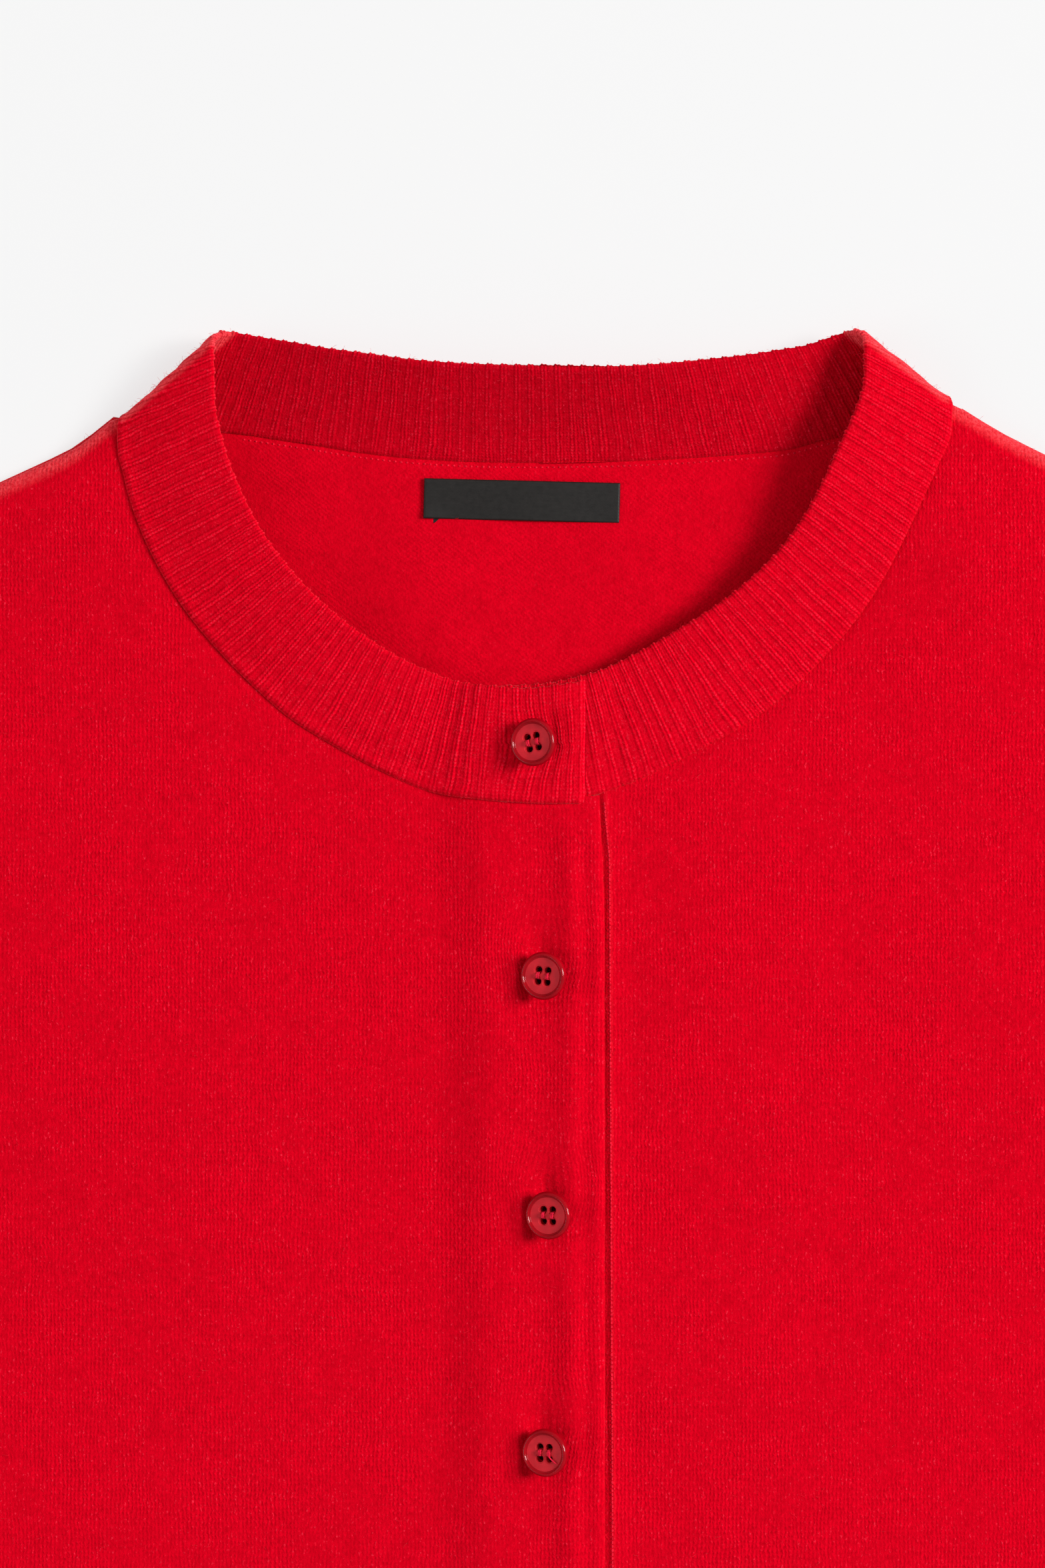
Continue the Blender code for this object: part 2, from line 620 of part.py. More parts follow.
# Button profile.  Columns: radius and height, from the middle of the underside
# round the edge and the rim to the middle of the face.
BUTTON_PROFILE = ((4.3, 0.0), (BUTTON_R - 0.1, 0.8), (BUTTON_R, 1.6), (5.3, 2.4), (4.9, BUTTON_TALL),
                  (4.4, 1.9))


def button_mesh():
    """A turned button with a raised rim and four holes."""
    sides = 16
    solid = bmesh.new()
    rings = []
    for radius, height in BUTTON_PROFILE:
        rings.append([solid.verts.new((radius * cos(2 * pi * k / sides),
                                       radius * sin(2 * pi * k / sides), height))
                      for k in range(sides)])
    for ring, above in zip(rings[:-1], rings[1:]):
        for k in range(sides):
            solid.faces.new((ring[k], ring[(k + 1) % sides], above[(k + 1) % sides], above[k]))
    solid.faces.new(list(reversed(rings[0])))
    solid.faces.new(rings[-1])
    body = bpy.data.meshes.new("button_turned")
    solid.to_mesh(body)
    solid.free()
    drill = bmesh.new()
    for u in (-HOLE_OUT, HOLE_OUT):
        for v in (-HOLE_OUT, HOLE_OUT):
            bmesh.ops.create_cone(drill, cap_ends=True, segments=6, radius1=HOLE_R, radius2=HOLE_R,
                                  depth=6.0, matrix=Matrix.Translation((u, v, 1.0)))
    cutter = bpy.data.meshes.new("button_drill")
    drill.to_mesh(cutter)
    drill.free()
    blank = bpy.data.objects.new("button_blank", body)
    tool = bpy.data.objects.new("button_tool", cutter)
    bpy.context.collection.objects.link(blank)
    bpy.context.collection.objects.link(tool)
    cut = blank.modifiers.new("holes", "BOOLEAN")
    cut.operation = "DIFFERENCE"
    cut.object = tool
    bpy.context.view_layer.update()
    made = bpy.data.meshes.new_from_object(blank.evaluated_get(bpy.context.evaluated_depsgraph_get()))
    for thing in (blank, tool):
        bpy.data.objects.remove(thing)
    points = np.array([v.co[:] for v in made.vertices])
    faces = [tuple(p.vertices) for p in made.polygons]
    return points, faces


def buttons(band_centre):
    """Eight buttons, each standing on the cloth under it and tilted on its thread."""
    points, faces = button_mesh()
    tilt = radians(BUTTON_TILT)
    for number, row in enumerate(BUTTONS, 1):
        if number == 1:
            near = band_centre.reshape(-1, 3)
            close = np.hypot(near[:, 0] - row.x, near[:, 1] - row.y) < BUTTON_R + 2
            cloth = near[close & (near[:, 2] > FRONT_LOW + LAP_RISE), 2].max()
            cloth += BAND_WALL / 2 + RIB_RISE
        else:
            cloth = FRONT_LOW + LAP_RISE + WALL
            cloth += RIB_RISE if row.y < HEM_TOP_Y + BUTTON_R else 0.0
        place = Matrix.Rotation(-tilt, 4, "Y") @ Matrix.Rotation(radians(row.turn), 4, "Z")
        turned = points @ np.array(place.to_3x3()).T
        turned += np.array([row.x, row.y, cloth + LAYER - turned[:, 2].min()])
        add("button_%d" % number, turned, faces, "button")


# -------------------------------------------------------------------- make
def make():
    for thing in list(bpy.data.objects):
        bpy.data.objects.remove(thing)
    back()
    front("front_right", -1, BAND_RIGHT, FOLD_RIGHT, lap_edge_x, True)
    front("front_left", 1, BAND_LEFT, FOLD_LEFT, under_edge_x, False)
    band_centre = neckband()
    for name, side in (("right", -1), ("left", 1)):
        sleeve("sleeve_" + name, side)
        cuff("cuff_" + name, side)
    hem("hem_right", -1, lap_edge_x, True)
    hem("hem_left", 1, under_edge_x, False)
    hem_back()
    label()
    buttons(band_centre)

    every = np.concatenate([points for _, points, _, _ in pieces])
    low, high = every.min(axis=0), every.max(axis=0)
    middle = np.array([(low[0] + high[0]) / 2, (low[1] + high[1]) / 2, low[2]])
    shades = {}
    for slot, (colour, rough, metal) in MATERIALS.items():
        shade = bpy.data.materials.new(slot)
        shade.use_nodes = True
        surface = shade.node_tree.nodes["Principled BSDF"]
        surface.inputs["Base Color"].default_value = (*colour, 1.0)
        surface.inputs["Roughness"].default_value = rough
        surface.inputs["Metallic"].default_value = metal
        shades[slot] = shade
    for name, points, faces, slot in pieces:
        mesh = bpy.data.meshes.new(name)
        mesh.from_pydata(((points - middle) * 0.001).tolist(), [], faces)
        mesh.materials.append(shades[slot])
        mesh.validate()
        mesh.update()
        bpy.context.collection.objects.link(bpy.data.objects.new(name, mesh))


make()
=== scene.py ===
"""Looks of a button cardigan in fine red knit, laid flat and buttoned up.

The frame gives the solids at their real size.  Every knitted piece is made again
as a thin wall on the same plan, with its ribs, rolled edges, pulls at the buttons
and soft creases; then come the buttons, their thread, the label, the linking
stitches and the fuzz.

Sizes are worked out in millimetres in the garment's own directions: X runs across
it, Y up it towards the neck and Z up from the table, x = 0 is the centre front
and y = 0 is level with the neck ends of the shoulder seams.
"""

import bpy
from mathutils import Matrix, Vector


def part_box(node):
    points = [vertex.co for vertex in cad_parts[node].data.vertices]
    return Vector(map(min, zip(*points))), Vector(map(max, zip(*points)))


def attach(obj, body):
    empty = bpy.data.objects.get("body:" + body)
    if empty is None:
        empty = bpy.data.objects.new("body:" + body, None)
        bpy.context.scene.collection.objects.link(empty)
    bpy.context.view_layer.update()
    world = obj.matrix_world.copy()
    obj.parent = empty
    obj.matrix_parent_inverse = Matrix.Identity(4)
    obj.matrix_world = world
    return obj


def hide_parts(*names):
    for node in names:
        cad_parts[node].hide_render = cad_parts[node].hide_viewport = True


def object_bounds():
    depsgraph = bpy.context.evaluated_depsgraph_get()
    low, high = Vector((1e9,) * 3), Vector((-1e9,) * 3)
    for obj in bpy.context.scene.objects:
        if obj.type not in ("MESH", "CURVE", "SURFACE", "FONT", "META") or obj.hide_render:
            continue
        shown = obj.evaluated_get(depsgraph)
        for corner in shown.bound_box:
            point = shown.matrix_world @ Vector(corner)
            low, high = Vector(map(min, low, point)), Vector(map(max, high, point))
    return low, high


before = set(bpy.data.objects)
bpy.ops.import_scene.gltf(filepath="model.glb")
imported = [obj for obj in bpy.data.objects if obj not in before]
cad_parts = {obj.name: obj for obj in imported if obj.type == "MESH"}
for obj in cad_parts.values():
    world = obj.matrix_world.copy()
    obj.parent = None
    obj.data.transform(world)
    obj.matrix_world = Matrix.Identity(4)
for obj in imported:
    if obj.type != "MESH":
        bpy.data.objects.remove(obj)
CAD_BOX = [list(corner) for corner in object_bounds()]

from collections import namedtuple
from math import cos, pi, radians, sin

import bmesh
import bpy
import numpy as np
from mathutils import Matrix, Vector

bl_info = {
    "name": "Button Cardigan Looks",
    "version": (1, 0, 0),
    "blender": (4, 5, 0),
    "location": "3D View > Sidebar > Cardigan",
    "description": "Knit, ribs, buttons, label, linking stitches and fuzz of a laid-out cardigan",
    "category": "Add Mesh",
}

# ------------------------------------------------------- sizes shared with the solids
MM = 0.001
WALL = 1.8              # thickness of the plain knit
LAYER = 0.3             # clearance between layers that lie on each other
FRONT_LOW = WALL + LAYER                # underside of the fronts
LAP_RISE = WALL + LAYER                 # how far the upper front climbs on the lap
LAP_WIDE = 24.0
LAP_CLIMB = (26.8, 40.0)                # where it climbs, in from its free edge
LOFT = 3.0              # how far the fronts stand off the back beside the neck
LOFT_AT = (97.0, -16.0)
LOFT_REACH = 24.0
EDGE_WALL = 0.9         # thickness left at a rounded outer edge
EDGE_ROLL = 4.6         # width of the rounding

HEM_TOP_Y = -448.0
HEM_DEEP = 50.0
UNDERARM = (228.0, -230.0)
SHOULDER_TIP = (188.0, -40.0)
HEM_HALF = 224.0

RIB_PITCH = 3.3
HEM_RIB_PITCH = 3.6
BAND_WALL = 1.5
BAND_DEEP = 28.0
BAND_BACK_Z = 1.4
FOLD_R = (1.6, 3.4)     # radius of the shoulder folds: at the seam, at the free edge
TIP_Z = 5.2

BUTTON_TILT = 22.0
HOLE_R = 0.93
HOLE_OUT = (1.16, 1.36)

# Garment millimetres to the frame: the frame's origin is under its middle.
SHIFT = np.array([0.0, CAD_BOX[0][1] / MM - (HEM_TOP_Y - HEM_DEEP), 0.0])


def table(columns, *rows):
    """A short table with named columns."""
    kind = namedtuple("Row", columns)
    return [kind(*row) for row in rows]


# The neckband in sections, from the centre front round one shoulder.
SECTION = "seam_x seam_y free_x free_y rise"
BAND_RIGHT = table(
    SECTION,
    (10.6, -90.0, 10.6, -60.4, 2.0),
    (-3.0, -89.7, -2.4, -62.2, 2.0),
    (-16.1, -88.7, -13.2, -61.6, 2.2),
    (-27.5, -86.7, -21.0, -60.3, 2.8),
    (-38.1, -82.1, -29.0, -57.2, 3.5),
    (-49.1, -76.2, -36.8, -53.1, 4.2),
    (-59.4, -69.8, -44.2, -48.2, 4.8),
    (-67.6, -62.8, -50.5, -43.1, 5.2),
    (-75.7, -54.7, -56.4, -37.4, 5.6),
    (-83.1, -46.0, -61.8, -31.0, 5.9),
    (-88.5, -38.0, -66.3, -24.6, 6.1),
    (-93.3, -29.1, -70.1, -17.3, 6.2),
    (-97.2, -19.3, -73.6, -8.8, 6.2),
    (-99.5, -10.8, -75.7, -1.2, 6.4),
    (-100.6, -5.7, -76.8, 4.2, 6.8))
BAND_LEFT = table(
    SECTION,
    (-13.6, -90.2, -13.4, -61.8, 2.0),
    (0.5, -89.9, 0.0, -61.2, 2.0),
    (13.0, -87.8, 8.2, -59.6, 2.2),
    (24.8, -83.7, 15.2, -57.5, 2.8),
    (36.7, -77.9, 24.1, -53.1, 3.6),
    (49.5, -70.7, 33.0, -48.0, 4.4),
    (59.6, -62.9, 41.9, -42.3, 5.1),
    (68.4, -54.1, 49.6, -36.2, 5.6),
    (75.5, -45.7, 56.4, -29.3, 6.0),
    (81.5, -36.5, 61.9, -21.7, 6.3),
    (86.3, -27.2, 66.3, -13.6, 6.5),
    (90.9, -17.3, 70.3, -4.9, 6.6),
    (94.7, -9.0, 73.8, 3.0, 6.8),
    (97.4, -2.6, 75.8, 9.4, 7.0))
# The back of the band; here the last column is the height of the free end itself.
BAND_BACK = table(
    SECTION,
    (-70.9, -1.8, -63.2, 20.6, 6.4),
    (-63.5, -2.9, -57.6, 19.6, 7.4),
    (-54.7, -4.2, -50.4, 18.2, 8.8),
    (-44.7, -5.8, -41.5, 16.9, 10.2),
    (-31.6, -7.3, -29.2, 15.1, 11.6),
    (-16.0, -8.2, -15.4, 14.1, 12.4),
    (0.2, -8.4, -0.2, 13.7, 12.6),
    (18.4, -8.1, 15.8, 13.5, 12.4),
    (31.9, -7.5, 27.7, 14.2, 11.6),
    (45.8, -6.6, 39.5, 15.5, 10.2),
    (58.4, -5.4, 49.4, 16.8, 8.6),
    (66.8, -3.2, 56.9, 18.1, 7.4),
    (74.0, -1.7, 62.7, 19.2, 6.4))
FOLD_RIGHT, FOLD_LEFT = table(
    "seam_x seam_y tip_x tip_y side",
    (-101.3, -0.2, -74.9, 22.7, -1),
    (99.8, 3.7, 76.3, 21.2, 1))

SLEEVE = table(
    "upper_x upper_y lower_x lower_y bend",
    (188.0, -40.0, 228.0, -230.0, 1.00),
    (209.0, -48.5, 233.0, -235.0, 0.85),
    (233.7, -60.3, 237.8, -240.5, 0.60),
    (277.0, -85.3, 257.3, -261.5, 0.24),
    (316.9, -115.4, 282.7, -288.7, 0.05),
    (352.3, -150.8, 310.0, -318.1, 0.00),
    (389.2, -198.0, 337.4, -347.5, 0.00),
    (427.3, -256.8, 366.7, -379.0, 0.00),
    (464.8, -321.7, 396.0, -410.4, 0.00),
    (501.2, -387.3, 423.3, -439.8, 0.00))
WRIST_UPPER = np.array([SLEEVE[-1].upper_x, SLEEVE[-1].upper_y])
WRIST_LOWER = np.array([SLEEVE[-1].lower_x, SLEEVE[-1].lower_y])
CUFF_LONG = 60.0
CUFF_HALF = (43.5, 41.5)                # half width at the sleeve, at the wrist
SIDES = (("right", -1), ("left", 1))    # the wearer's sides

BUTTONS = table(
    "x y turn",
    (-1.4, -75.2, 12.0),
    (1.0, -130.5, -5.0),
    (2.2, -187.2, 0.0),
    (1.4, -243.4, 0.0),
    (2.6, -299.6, 6.0),
    (3.2, -355.7, -4.0),
    (3.4, -411.8, 2.0),
    (3.8, -468.0, -3.0))

LABEL_SIZE = (46.8, 9.6, 0.6)
LABEL_AT = (-4.6, -17.5)
LABEL_TURN = -1.4

# ------------------------------------------------------------ sizes of the finish
# Soft creases: from (x, y) to (x, y), height in mm (a trough is negative), half width.
CREASE = "x0 y0 x1 y1 rise wide"
CREASES_RIGHT = table(
    CREASE,
    (-206, -222, -150, -196, -0.9, 9.0),
    (-200, -246, -138, -262, 0.8, 11.0),
    (-214, -262, -168, -292, -0.7, 8.0),
    (-60, -300, -150, -338, 0.6, 15.0),
    (-40, -372, -172, -392, -0.6, 13.0),
    (-96, -408, -206, -424, 0.7, 10.0),
    (-150, -60, -168, -150, 0.5, 14.0),
    (-110, -150, -128, -212, -0.35, 16.0),
    (-60, -120, -76, -230, 0.25, 17.0))
CREASES_LEFT = table(
    CREASE,
    (208, -220, 156, -190, -0.8, 10.0),
    (204, -250, 150, -274, 0.9, 10.0),
    (216, -276, 160, -318, -0.6, 9.0),
    (64, -316, 140, -330, 0.5, 16.0),
    (52, -388, 180, -376, -0.7, 12.0),
    (120, -418, 212, -410, 0.6, 11.0),
    (140, -58, 172, -128, 0.5, 15.0),
    (70, -170, 92, -250, -0.3, 15.0),
    (48, -110, 60, -190, 0.25, 16.0))
# The same on a sleeve, for x > 0; the other sleeve gets its own shift.
CREASES_SLEEVE = table(
    CREASE,
    (206, -128, 262, -168, -1.0, 9.0),
    (216, -176, 280, -220, 0.9, 11.0),
    (240, -216, 300, -262, -0.7, 8.0),
    (268, -112, 330, -170, 0.6, 14.0),
    (300, -206, 372, -230, -0.9, 9.0),
    (330, -246, 398, -262, 0.9, 8.0),
    (318, -296, 380, -300, -0.6, 7.0),
    (372, -196, 404, -262, 0.5, 10.0),
    (372, -352, 446, -338, -0.8, 8.0),
    (400, -398, 474, -366, 0.7, 8.0),
    (430, -428, 494, -402, -0.5, 6.0))

# Lines of relief along the upper front's edge: height, distance in from it, half width.
PLACKET_LINES = ((-0.42, 15.5, 6.0), (0.25, 1.6, 1.4), (-0.45, 4.6, 1.7))
# Dimples (negative) and swells round a button, in mm from its middle.
DIMPLE = "rise x wide y tall"
AT_BUTTONHOLE = table(
    DIMPLE,
    (-0.75, -2.2, 3.4, 7.5, 5.0),       # the cloth drawn down above the slit
    (-1.20, -1.0, 0.90, 7.0, 1.7),      # the end of the slit
    (-0.50, -0.5, 3.5, 0.0, 4.0),
    (-0.75, 5.4, 1.7, -0.8, 4.2),
    (-0.55, 0.5, 4.0, -6.4, 1.7),
    (1.55, -6.6, 2.1, -0.5, 4.8),       # the swell under the button's low rim
    (0.28, 1.0, 4.5, -12.5, 5.0))
BELOW_TOP_BUTTON = table(DIMPLE, (-0.55, 3.0, 7.0, -24.0, 8.0))
AT_TOP_BUTTON = table(
    DIMPLE,
    (-0.6, 0.0, 5.0, 0.0, 6.0),
    (-0.7, 3.6, 2.6, 6.4, 2.6),
    (1.45, -6.6, 1.9, -1.0, 4.6))

SHOULDER_DRAW = {-1: 3.2, 1: 1.2}       # how far the shoulder line climbs to the band's folds
GROOVE_Y = (-500.0, -260.0, -103.0, -90.0)      # the under front's linked line
GROOVE_X = (15.7, 15.1, 14.4, 13.2)
CHAIN_OUT = 1.85        # from the groove to the chain of stitches beside it
SLIT_Y = -75.5          # the level buttonhole in the band

# What each machine-made stitch line looks like: spacing, length, width, height in mm.
CHAIN, LINKING, SEAMING = table(
    "apart long wide tall",
    (0.95, 0.95, 0.50, 0.22),
    (1.40, 0.62, 0.46, 0.34),
    (1.15, 1.00, 0.50, 0.34))


# ---------------------------------------------------------------- properties
def length(name, description, default):
    """A small length that a user may change."""
    return bpy.props.FloatProperty(name=name, description=description, default=default,
                                   unit="LENGTH", precision=5)


def colour(name, description, default):
    """A colour that a user may change."""
    return bpy.props.FloatVectorProperty(name=name, description=description, default=default,
                                         subtype="COLOR", size=3, min=0, max=1)


class CardiganSizes(bpy.types.PropertyGroup):
    """Sizes of the yarn, the stitches and the loose fibres."""
    wale: length("Wale", "Width of one column of stitches", 0.95 * MM)
    course: length("Course", "Height of one row of stitches", 1.15 * MM)
    rib_depth: length("Rib depth", "Height of the ribs over their furrows", 0.44 * MM)
    stitch_depth: length("Stitch depth", "Depth of the stitches in the surface", 0.22 * MM)
    hair: length("Nap", "Length of the loose fibres", 1.1 * MM)


class CardiganColours(bpy.types.PropertyGroup):
    """Colours of the yarn, the buttons, the label and the table."""
    yarn: colour("Yarn", "Colour of the raised yarn", (0.80, 0.0008, 0.0150))
    # depth is painted shade: it is mixed in between the stitches and in the rib furrows.
    depth: colour("Depth", "Colour between the stitches", (0.37, 0.0003, 0.0050))
    # fleck colours real pale fibres and also the painted highlights on the rib wales.
    fleck_and_highlight: colour("Fleck_and_highlight", "Colour of stray paler fibres", (1.0, 0.050, 0.100))
    # fuzz colours a pale haze along folds and edges: real loose fibres and painted sheen.
    fuzz: colour("Fuzz", "Colour of the loose fibres along folds", (1.0, 0.085, 0.100))
    button: colour("Button", "Colour of the polished rim", (0.34, 0.0006, 0.006))
    button_face: colour("Button face", "Colour of the matt face", (0.62, 0.016, 0.028))
    label: colour("Label", "Colour of the label's tape", (0.0076, 0.0064, 0.0054))
    floor: colour("Table", "Colour of the table top", (0.20, 0.20, 0.20))


def sizes():
    return bpy.context.scene.cardigan_sizes


def colours():
    return bpy.context.scene.cardigan_colours


# ------------------------------------------------------------------- curves
def ease(value):
    """A smooth step from 0 to 1."""
    value = np.clip(value, 0.0, 1.0)
    return value * value * (3.0 - 2.0 * value)


def arc(value):
    """The height of a quarter round, from 0 up to 1."""
    return np.sqrt(1.0 - (1.0 - np.clip(value, 0.0, 1.0)) ** 2)


def bump(value):
    """A soft bump of height 1 round 0."""
    return np.exp(-np.square(value))


def through(rows, at):
    """Points on the smooth curve through the rows, at row numbers such as 2.5."""
    rows = np.asarray(rows, float)
    at = np.clip(np.asarray(at, float), 0.0, len(rows) - 1.0)
    first = np.clip(np.floor(at).astype(int), 0, len(rows) - 2)
    part = (at - first)[..., None]
    slopes = np.gradient(rows, axis=0)
    p, q = rows[first], rows[first + 1]
    a, b = slopes[first], slopes[first + 1]
    return ((2 * part ** 3 - 3 * part ** 2 + 1) * p + (part ** 3 - 2 * part ** 2 + part) * a
            + (3 * part ** 2 - 2 * part ** 3) * q + (part ** 3 - part ** 2) * b)


def along(rows, shares):
    """Points on the curve through the rows, at shares of its length."""
    fine = through(rows, np.linspace(0, len(rows) - 1, 40 * len(rows)))
    run = np.concatenate([[0], np.cumsum(np.hypot(*np.diff(fine[:, :2], axis=0).T))])
    shares = np.asarray(shares, float) * run[-1]
    return np.stack([np.interp(shares, run, fine[:, k]) for k in range(fine.shape[1])], axis=-1)


def straight(start, end, shares):
    """Points on a straight line, at shares of its length."""
    shares = np.asarray(shares, float)[:, None]
    return np.asarray(start, float) * (1 - shares) + np.asarray(end, float) * shares


def steps(*stretches):
    """Values that run evenly through each stretch: (from, to, spacing)."""
    values = []
    for low, high, spacing in stretches:
        count = max(1, int(round((high - low) / spacing)))
        values.append(np.linspace(low, high, count + 1)[:-1])
    return np.concatenate(values + [[stretches[-1][1]]])


# ------------------------------------------------------------ the garment's shape
def lap_edge_x(y):
    """The free edge of the upper front, which leans a little down the garment."""
    return np.interp(y, [-500.0, -258.0, -120.0, -104.0, -89.7], [15.6, 15.2, 15.1, 14.7, 13.9])


def under_edge_x(y):
    """The hidden edge of the under front."""
    return lap_edge_x(y) - LAP_WIDE


def lap_rise(x, y):
    """How far the upper front has climbed onto the under one."""
    inward = lap_edge_x(y) - x
    return LAP_RISE * ease((LAP_CLIMB[1] - inward) / (LAP_CLIMB[1] - LAP_CLIMB[0]))


def loft(x, y):
    """How far the fronts stand off the back beside the neck."""
    away = ((np.abs(x) - LOFT_AT[0]) ** 2 + (y - LOFT_AT[1]) ** 2) / (2 * LOFT_REACH ** 2)
    return LOFT * np.exp(-away)


def armhole(shares, side, out=0.0):
    """The armhole from the underarm up to the shoulder tip, moved out by a gap."""
    rows = [(UNDERARM[0] + out, UNDERARM[1] + out), (205.0 + out, -213.0 + out),
            (190.5 + out, -186.0 + out / 2), (183.5 + out, -150.0), (181.5 + out, -110.0),
            (183.5 + out, -74.0), (SHOULDER_TIP[0] + out, SHOULDER_TIP[1])]
    return along(rows, shares) * np.array([side, 1.0])


def creased(x, y, creases):
    """Height of the soft creases at (x, y)."""
    x, y = np.broadcast_arrays(x, y)
    height = np.zeros_like(x)
    for c in creases:
        run = np.array([c.x1 - c.x0, c.y1 - c.y0], float)
        long = np.hypot(*run)
        run /= long
        share = ((x - c.x0) * run[0] + (y - c.y0) * run[1]) / long
        bow = 0.10 * long * np.sin(pi * np.clip(share, 0, 1))
        off = (x - c.x0) * run[1] - (y - c.y0) * run[0] - bow
        ends = ease((share + 0.25) / 0.5) * ease((1.25 - share) / 0.5)
        height += c.rise * ends * bump(off / c.wide)
    return height


def uneven(x, y, size, seed):
    """Soft unevenness between about -1 and 1, as laid-out cloth has."""
    draw = np.random.default_rng(seed)
    x, y = np.broadcast_arrays(x, y)
    height = np.zeros(x.shape)
    for _ in range(9):
        angle = draw.uniform(0, 2 * pi)
        wave = 2 * pi / (size * draw.uniform(0.7, 1.6))
        height += np.sin((x * cos(angle) + y * sin(angle)) * wave + draw.uniform(0, 2 * pi))
    return height / 3.6


def dimples(dx, dy, rows):
    """Height of the dimples and swells round a button's middle."""
    return sum(d.rise * bump((dx - d.x) / d.wide) * bump((dy - d.y) / d.tall) for d in rows)


def placket(x, y):
    """Relief of the upper front near its free edge: ridge, hollows and buttonholes."""
    inward = lap_edge_x(y) - x
    height = 0.72 * bump((inward - 8.0) / 3.2) * (1 + 0.18 * uneven(x * 0, y, 46.0, 5))
    for rise, at, half in PLACKET_LINES:
        height += rise * bump((inward - at) / half)
    for row in BUTTONS[1:]:
        height += dimples(x - row.x, y - row.y, AT_BUTTONHOLE)
    return height + dimples(x - BUTTONS[0].x, y - BUTTONS[0].y, BELOW_TOP_BUTTON)


def pulled(x, y):
    """How far the stitches beside the buttons are drawn towards the buttonholes."""
    shift = np.zeros_like(x)
    for row in BUTTONS[1:]:
        dx, dy = x - row.x - 0.4, y - row.y - 6.5
        shift -= 0.55 * dx * bump(dx / 8.0) * bump(dy / 9.0)
    return shift


def groove_x(y):
    """The linked line of the under front."""
    return np.interp(y, GROOVE_Y, GROOVE_X)


# ---------------------------------------------------------------- mesh making
def placed(points):
    """Garment millimetres as places in the frame."""
    return (np.asarray(points, float) + SHIFT) * MM


def outward(points, faces):
    """Whether the faces point outwards."""
    a, b, c, d = (points[faces[:, k]] for k in range(4))
    return np.einsum("ij,ij->", a, np.cross(b, c) + np.cross(c, d)) > 0


def quads(ids, stitches):
    """Faces and their stitch coordinates between the rows of a grid of point numbers."""
    near, far = slice(None, -1), slice(1, None)
    corners = (near, near), (near, far), (far, far), (far, near)
    faces = np.stack([ids[c] for c in corners], axis=-1).reshape(-1, 4)
    places = np.stack([stitches[c] for c in corners], axis=-2).reshape(-1, 4, 2)
    return faces, places


def closed_wall(name, high, low, stitches, finish, ring=False, nap=None, lining=None):
    """A closed wall between an outer and an inner grid of points.

    ring joins the last column to the first one; stitches has a column more then.
    lining is the finish of the inner face where it has its own.
    """
    rows, columns = high.shape[:2]
    ids = np.arange(rows * columns).reshape(rows, columns)
    if ring:
        ids = np.concatenate([ids, ids[:, :1]], axis=1)
    under = rows * columns
    parts = [quads(ids, stitches), quads(ids[:, ::-1] + under, stitches[:, ::-1])]
    ends = [(ids[0], stitches[0]), (ids[-1, ::-1], stitches[-1, ::-1])]
    if not ring:
        ends += [(ids[::-1, 0], stitches[::-1, 0]), (ids[:, -1], stitches[:, -1])]
    parts += [quads(np.stack([line + under, line]), np.stack([at, at])) for line, at in ends]
    faces, places = (np.concatenate(made) for made in zip(*parts))
    points = np.concatenate([high.reshape(-1, 3), low.reshape(-1, 3)])
    if not outward(points, faces):
        faces, places = faces[:, ::-1], places[:, ::-1]
    mesh = bpy.data.meshes.new(name)
    mesh.from_pydata(placed(points), [], faces.tolist())
    layer = mesh.uv_layers.new(name="stitches")
    layer.data.foreach_set("uv", places.reshape(-1).astype(np.float32))
    # The nap attribute weights the loose fibres grown later and also a painted sheen mixed into the knit's
    # colour.
    if nap is not None:
        both = np.concatenate([nap.reshape(-1), nap.reshape(-1)]).astype(np.float32)
        mesh.attributes.new("nap", "FLOAT", "POINT").data.foreach_set("value", both)
    if lining is None:
        return add_piece(name, mesh, finish)
    thing = add_piece(name, mesh, finish, lining)
    face_count = len(parts[0][0])
    inner = np.zeros(len(faces), np.int32)
    inner[face_count:2 * face_count] = 1
    mesh.polygons.foreach_set("material_index", inner)
    return thing


def new_object(name, data):
    """A new object in the scene, at the origin."""
    thing = bpy.data.objects.new(name, data)
    bpy.context.scene.collection.objects.link(thing)
    return thing


def add_piece(name, mesh, *finishes):
    """A piece from a mesh, shaded smooth."""
    for finish in finishes:
        mesh.materials.append(material(finish))
    mesh.shade_smooth()
    return new_object(name, mesh)


def plain_mesh(thing):
    """The mesh of an object with its modifiers applied."""
    bpy.context.view_layer.update()
    return bpy.data.meshes.new_from_object(
        thing.evaluated_get(bpy.context.evaluated_depsgraph_get()))


def hand_over(thing, slot, *nodes):
    """Attach the piece to the root and hide the solids that it stands for; slot is not used."""
    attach(thing, "root")
    if nodes:
        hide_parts(*nodes)


def plan_area(plan):
    """Area in square metres of a grid of plan points, laid flat."""
    x, y = plan[..., 0], plan[..., 1]
    one = (x[1:, 1:] - x[:-1, :-1]) * (y[1:, :-1] - y[:-1, 1:])
    two = (x[1:, :-1] - x[:-1, 1:]) * (y[1:, 1:] - y[:-1, :-1])
    return abs(float((one - two).sum())) / 2 * MM * MM


def patch(bottom, top, left, right, across, up):
    """A grid of plan points that fills in between four boundary lines."""
    s = np.asarray(across, float)[None, :, None]
    t = np.asarray(up, float)[:, None, None]
    left_bow = left[:, None] - (1 - t) * bottom[0] - t * top[0]
    right_bow = right[:, None] - (1 - t) * bottom[-1] - t * top[-1]
    return (1 - t) * bottom[None] + t * top[None] + (1 - s) ** 3 * left_bow + s ** 3 * right_bow


def stitch_grid(x, y):
    """Stitch coordinates of plain knit whose wales run up the garment."""
    return np.stack([x * MM / sizes().wale, y * MM / sizes().course], axis=-1)


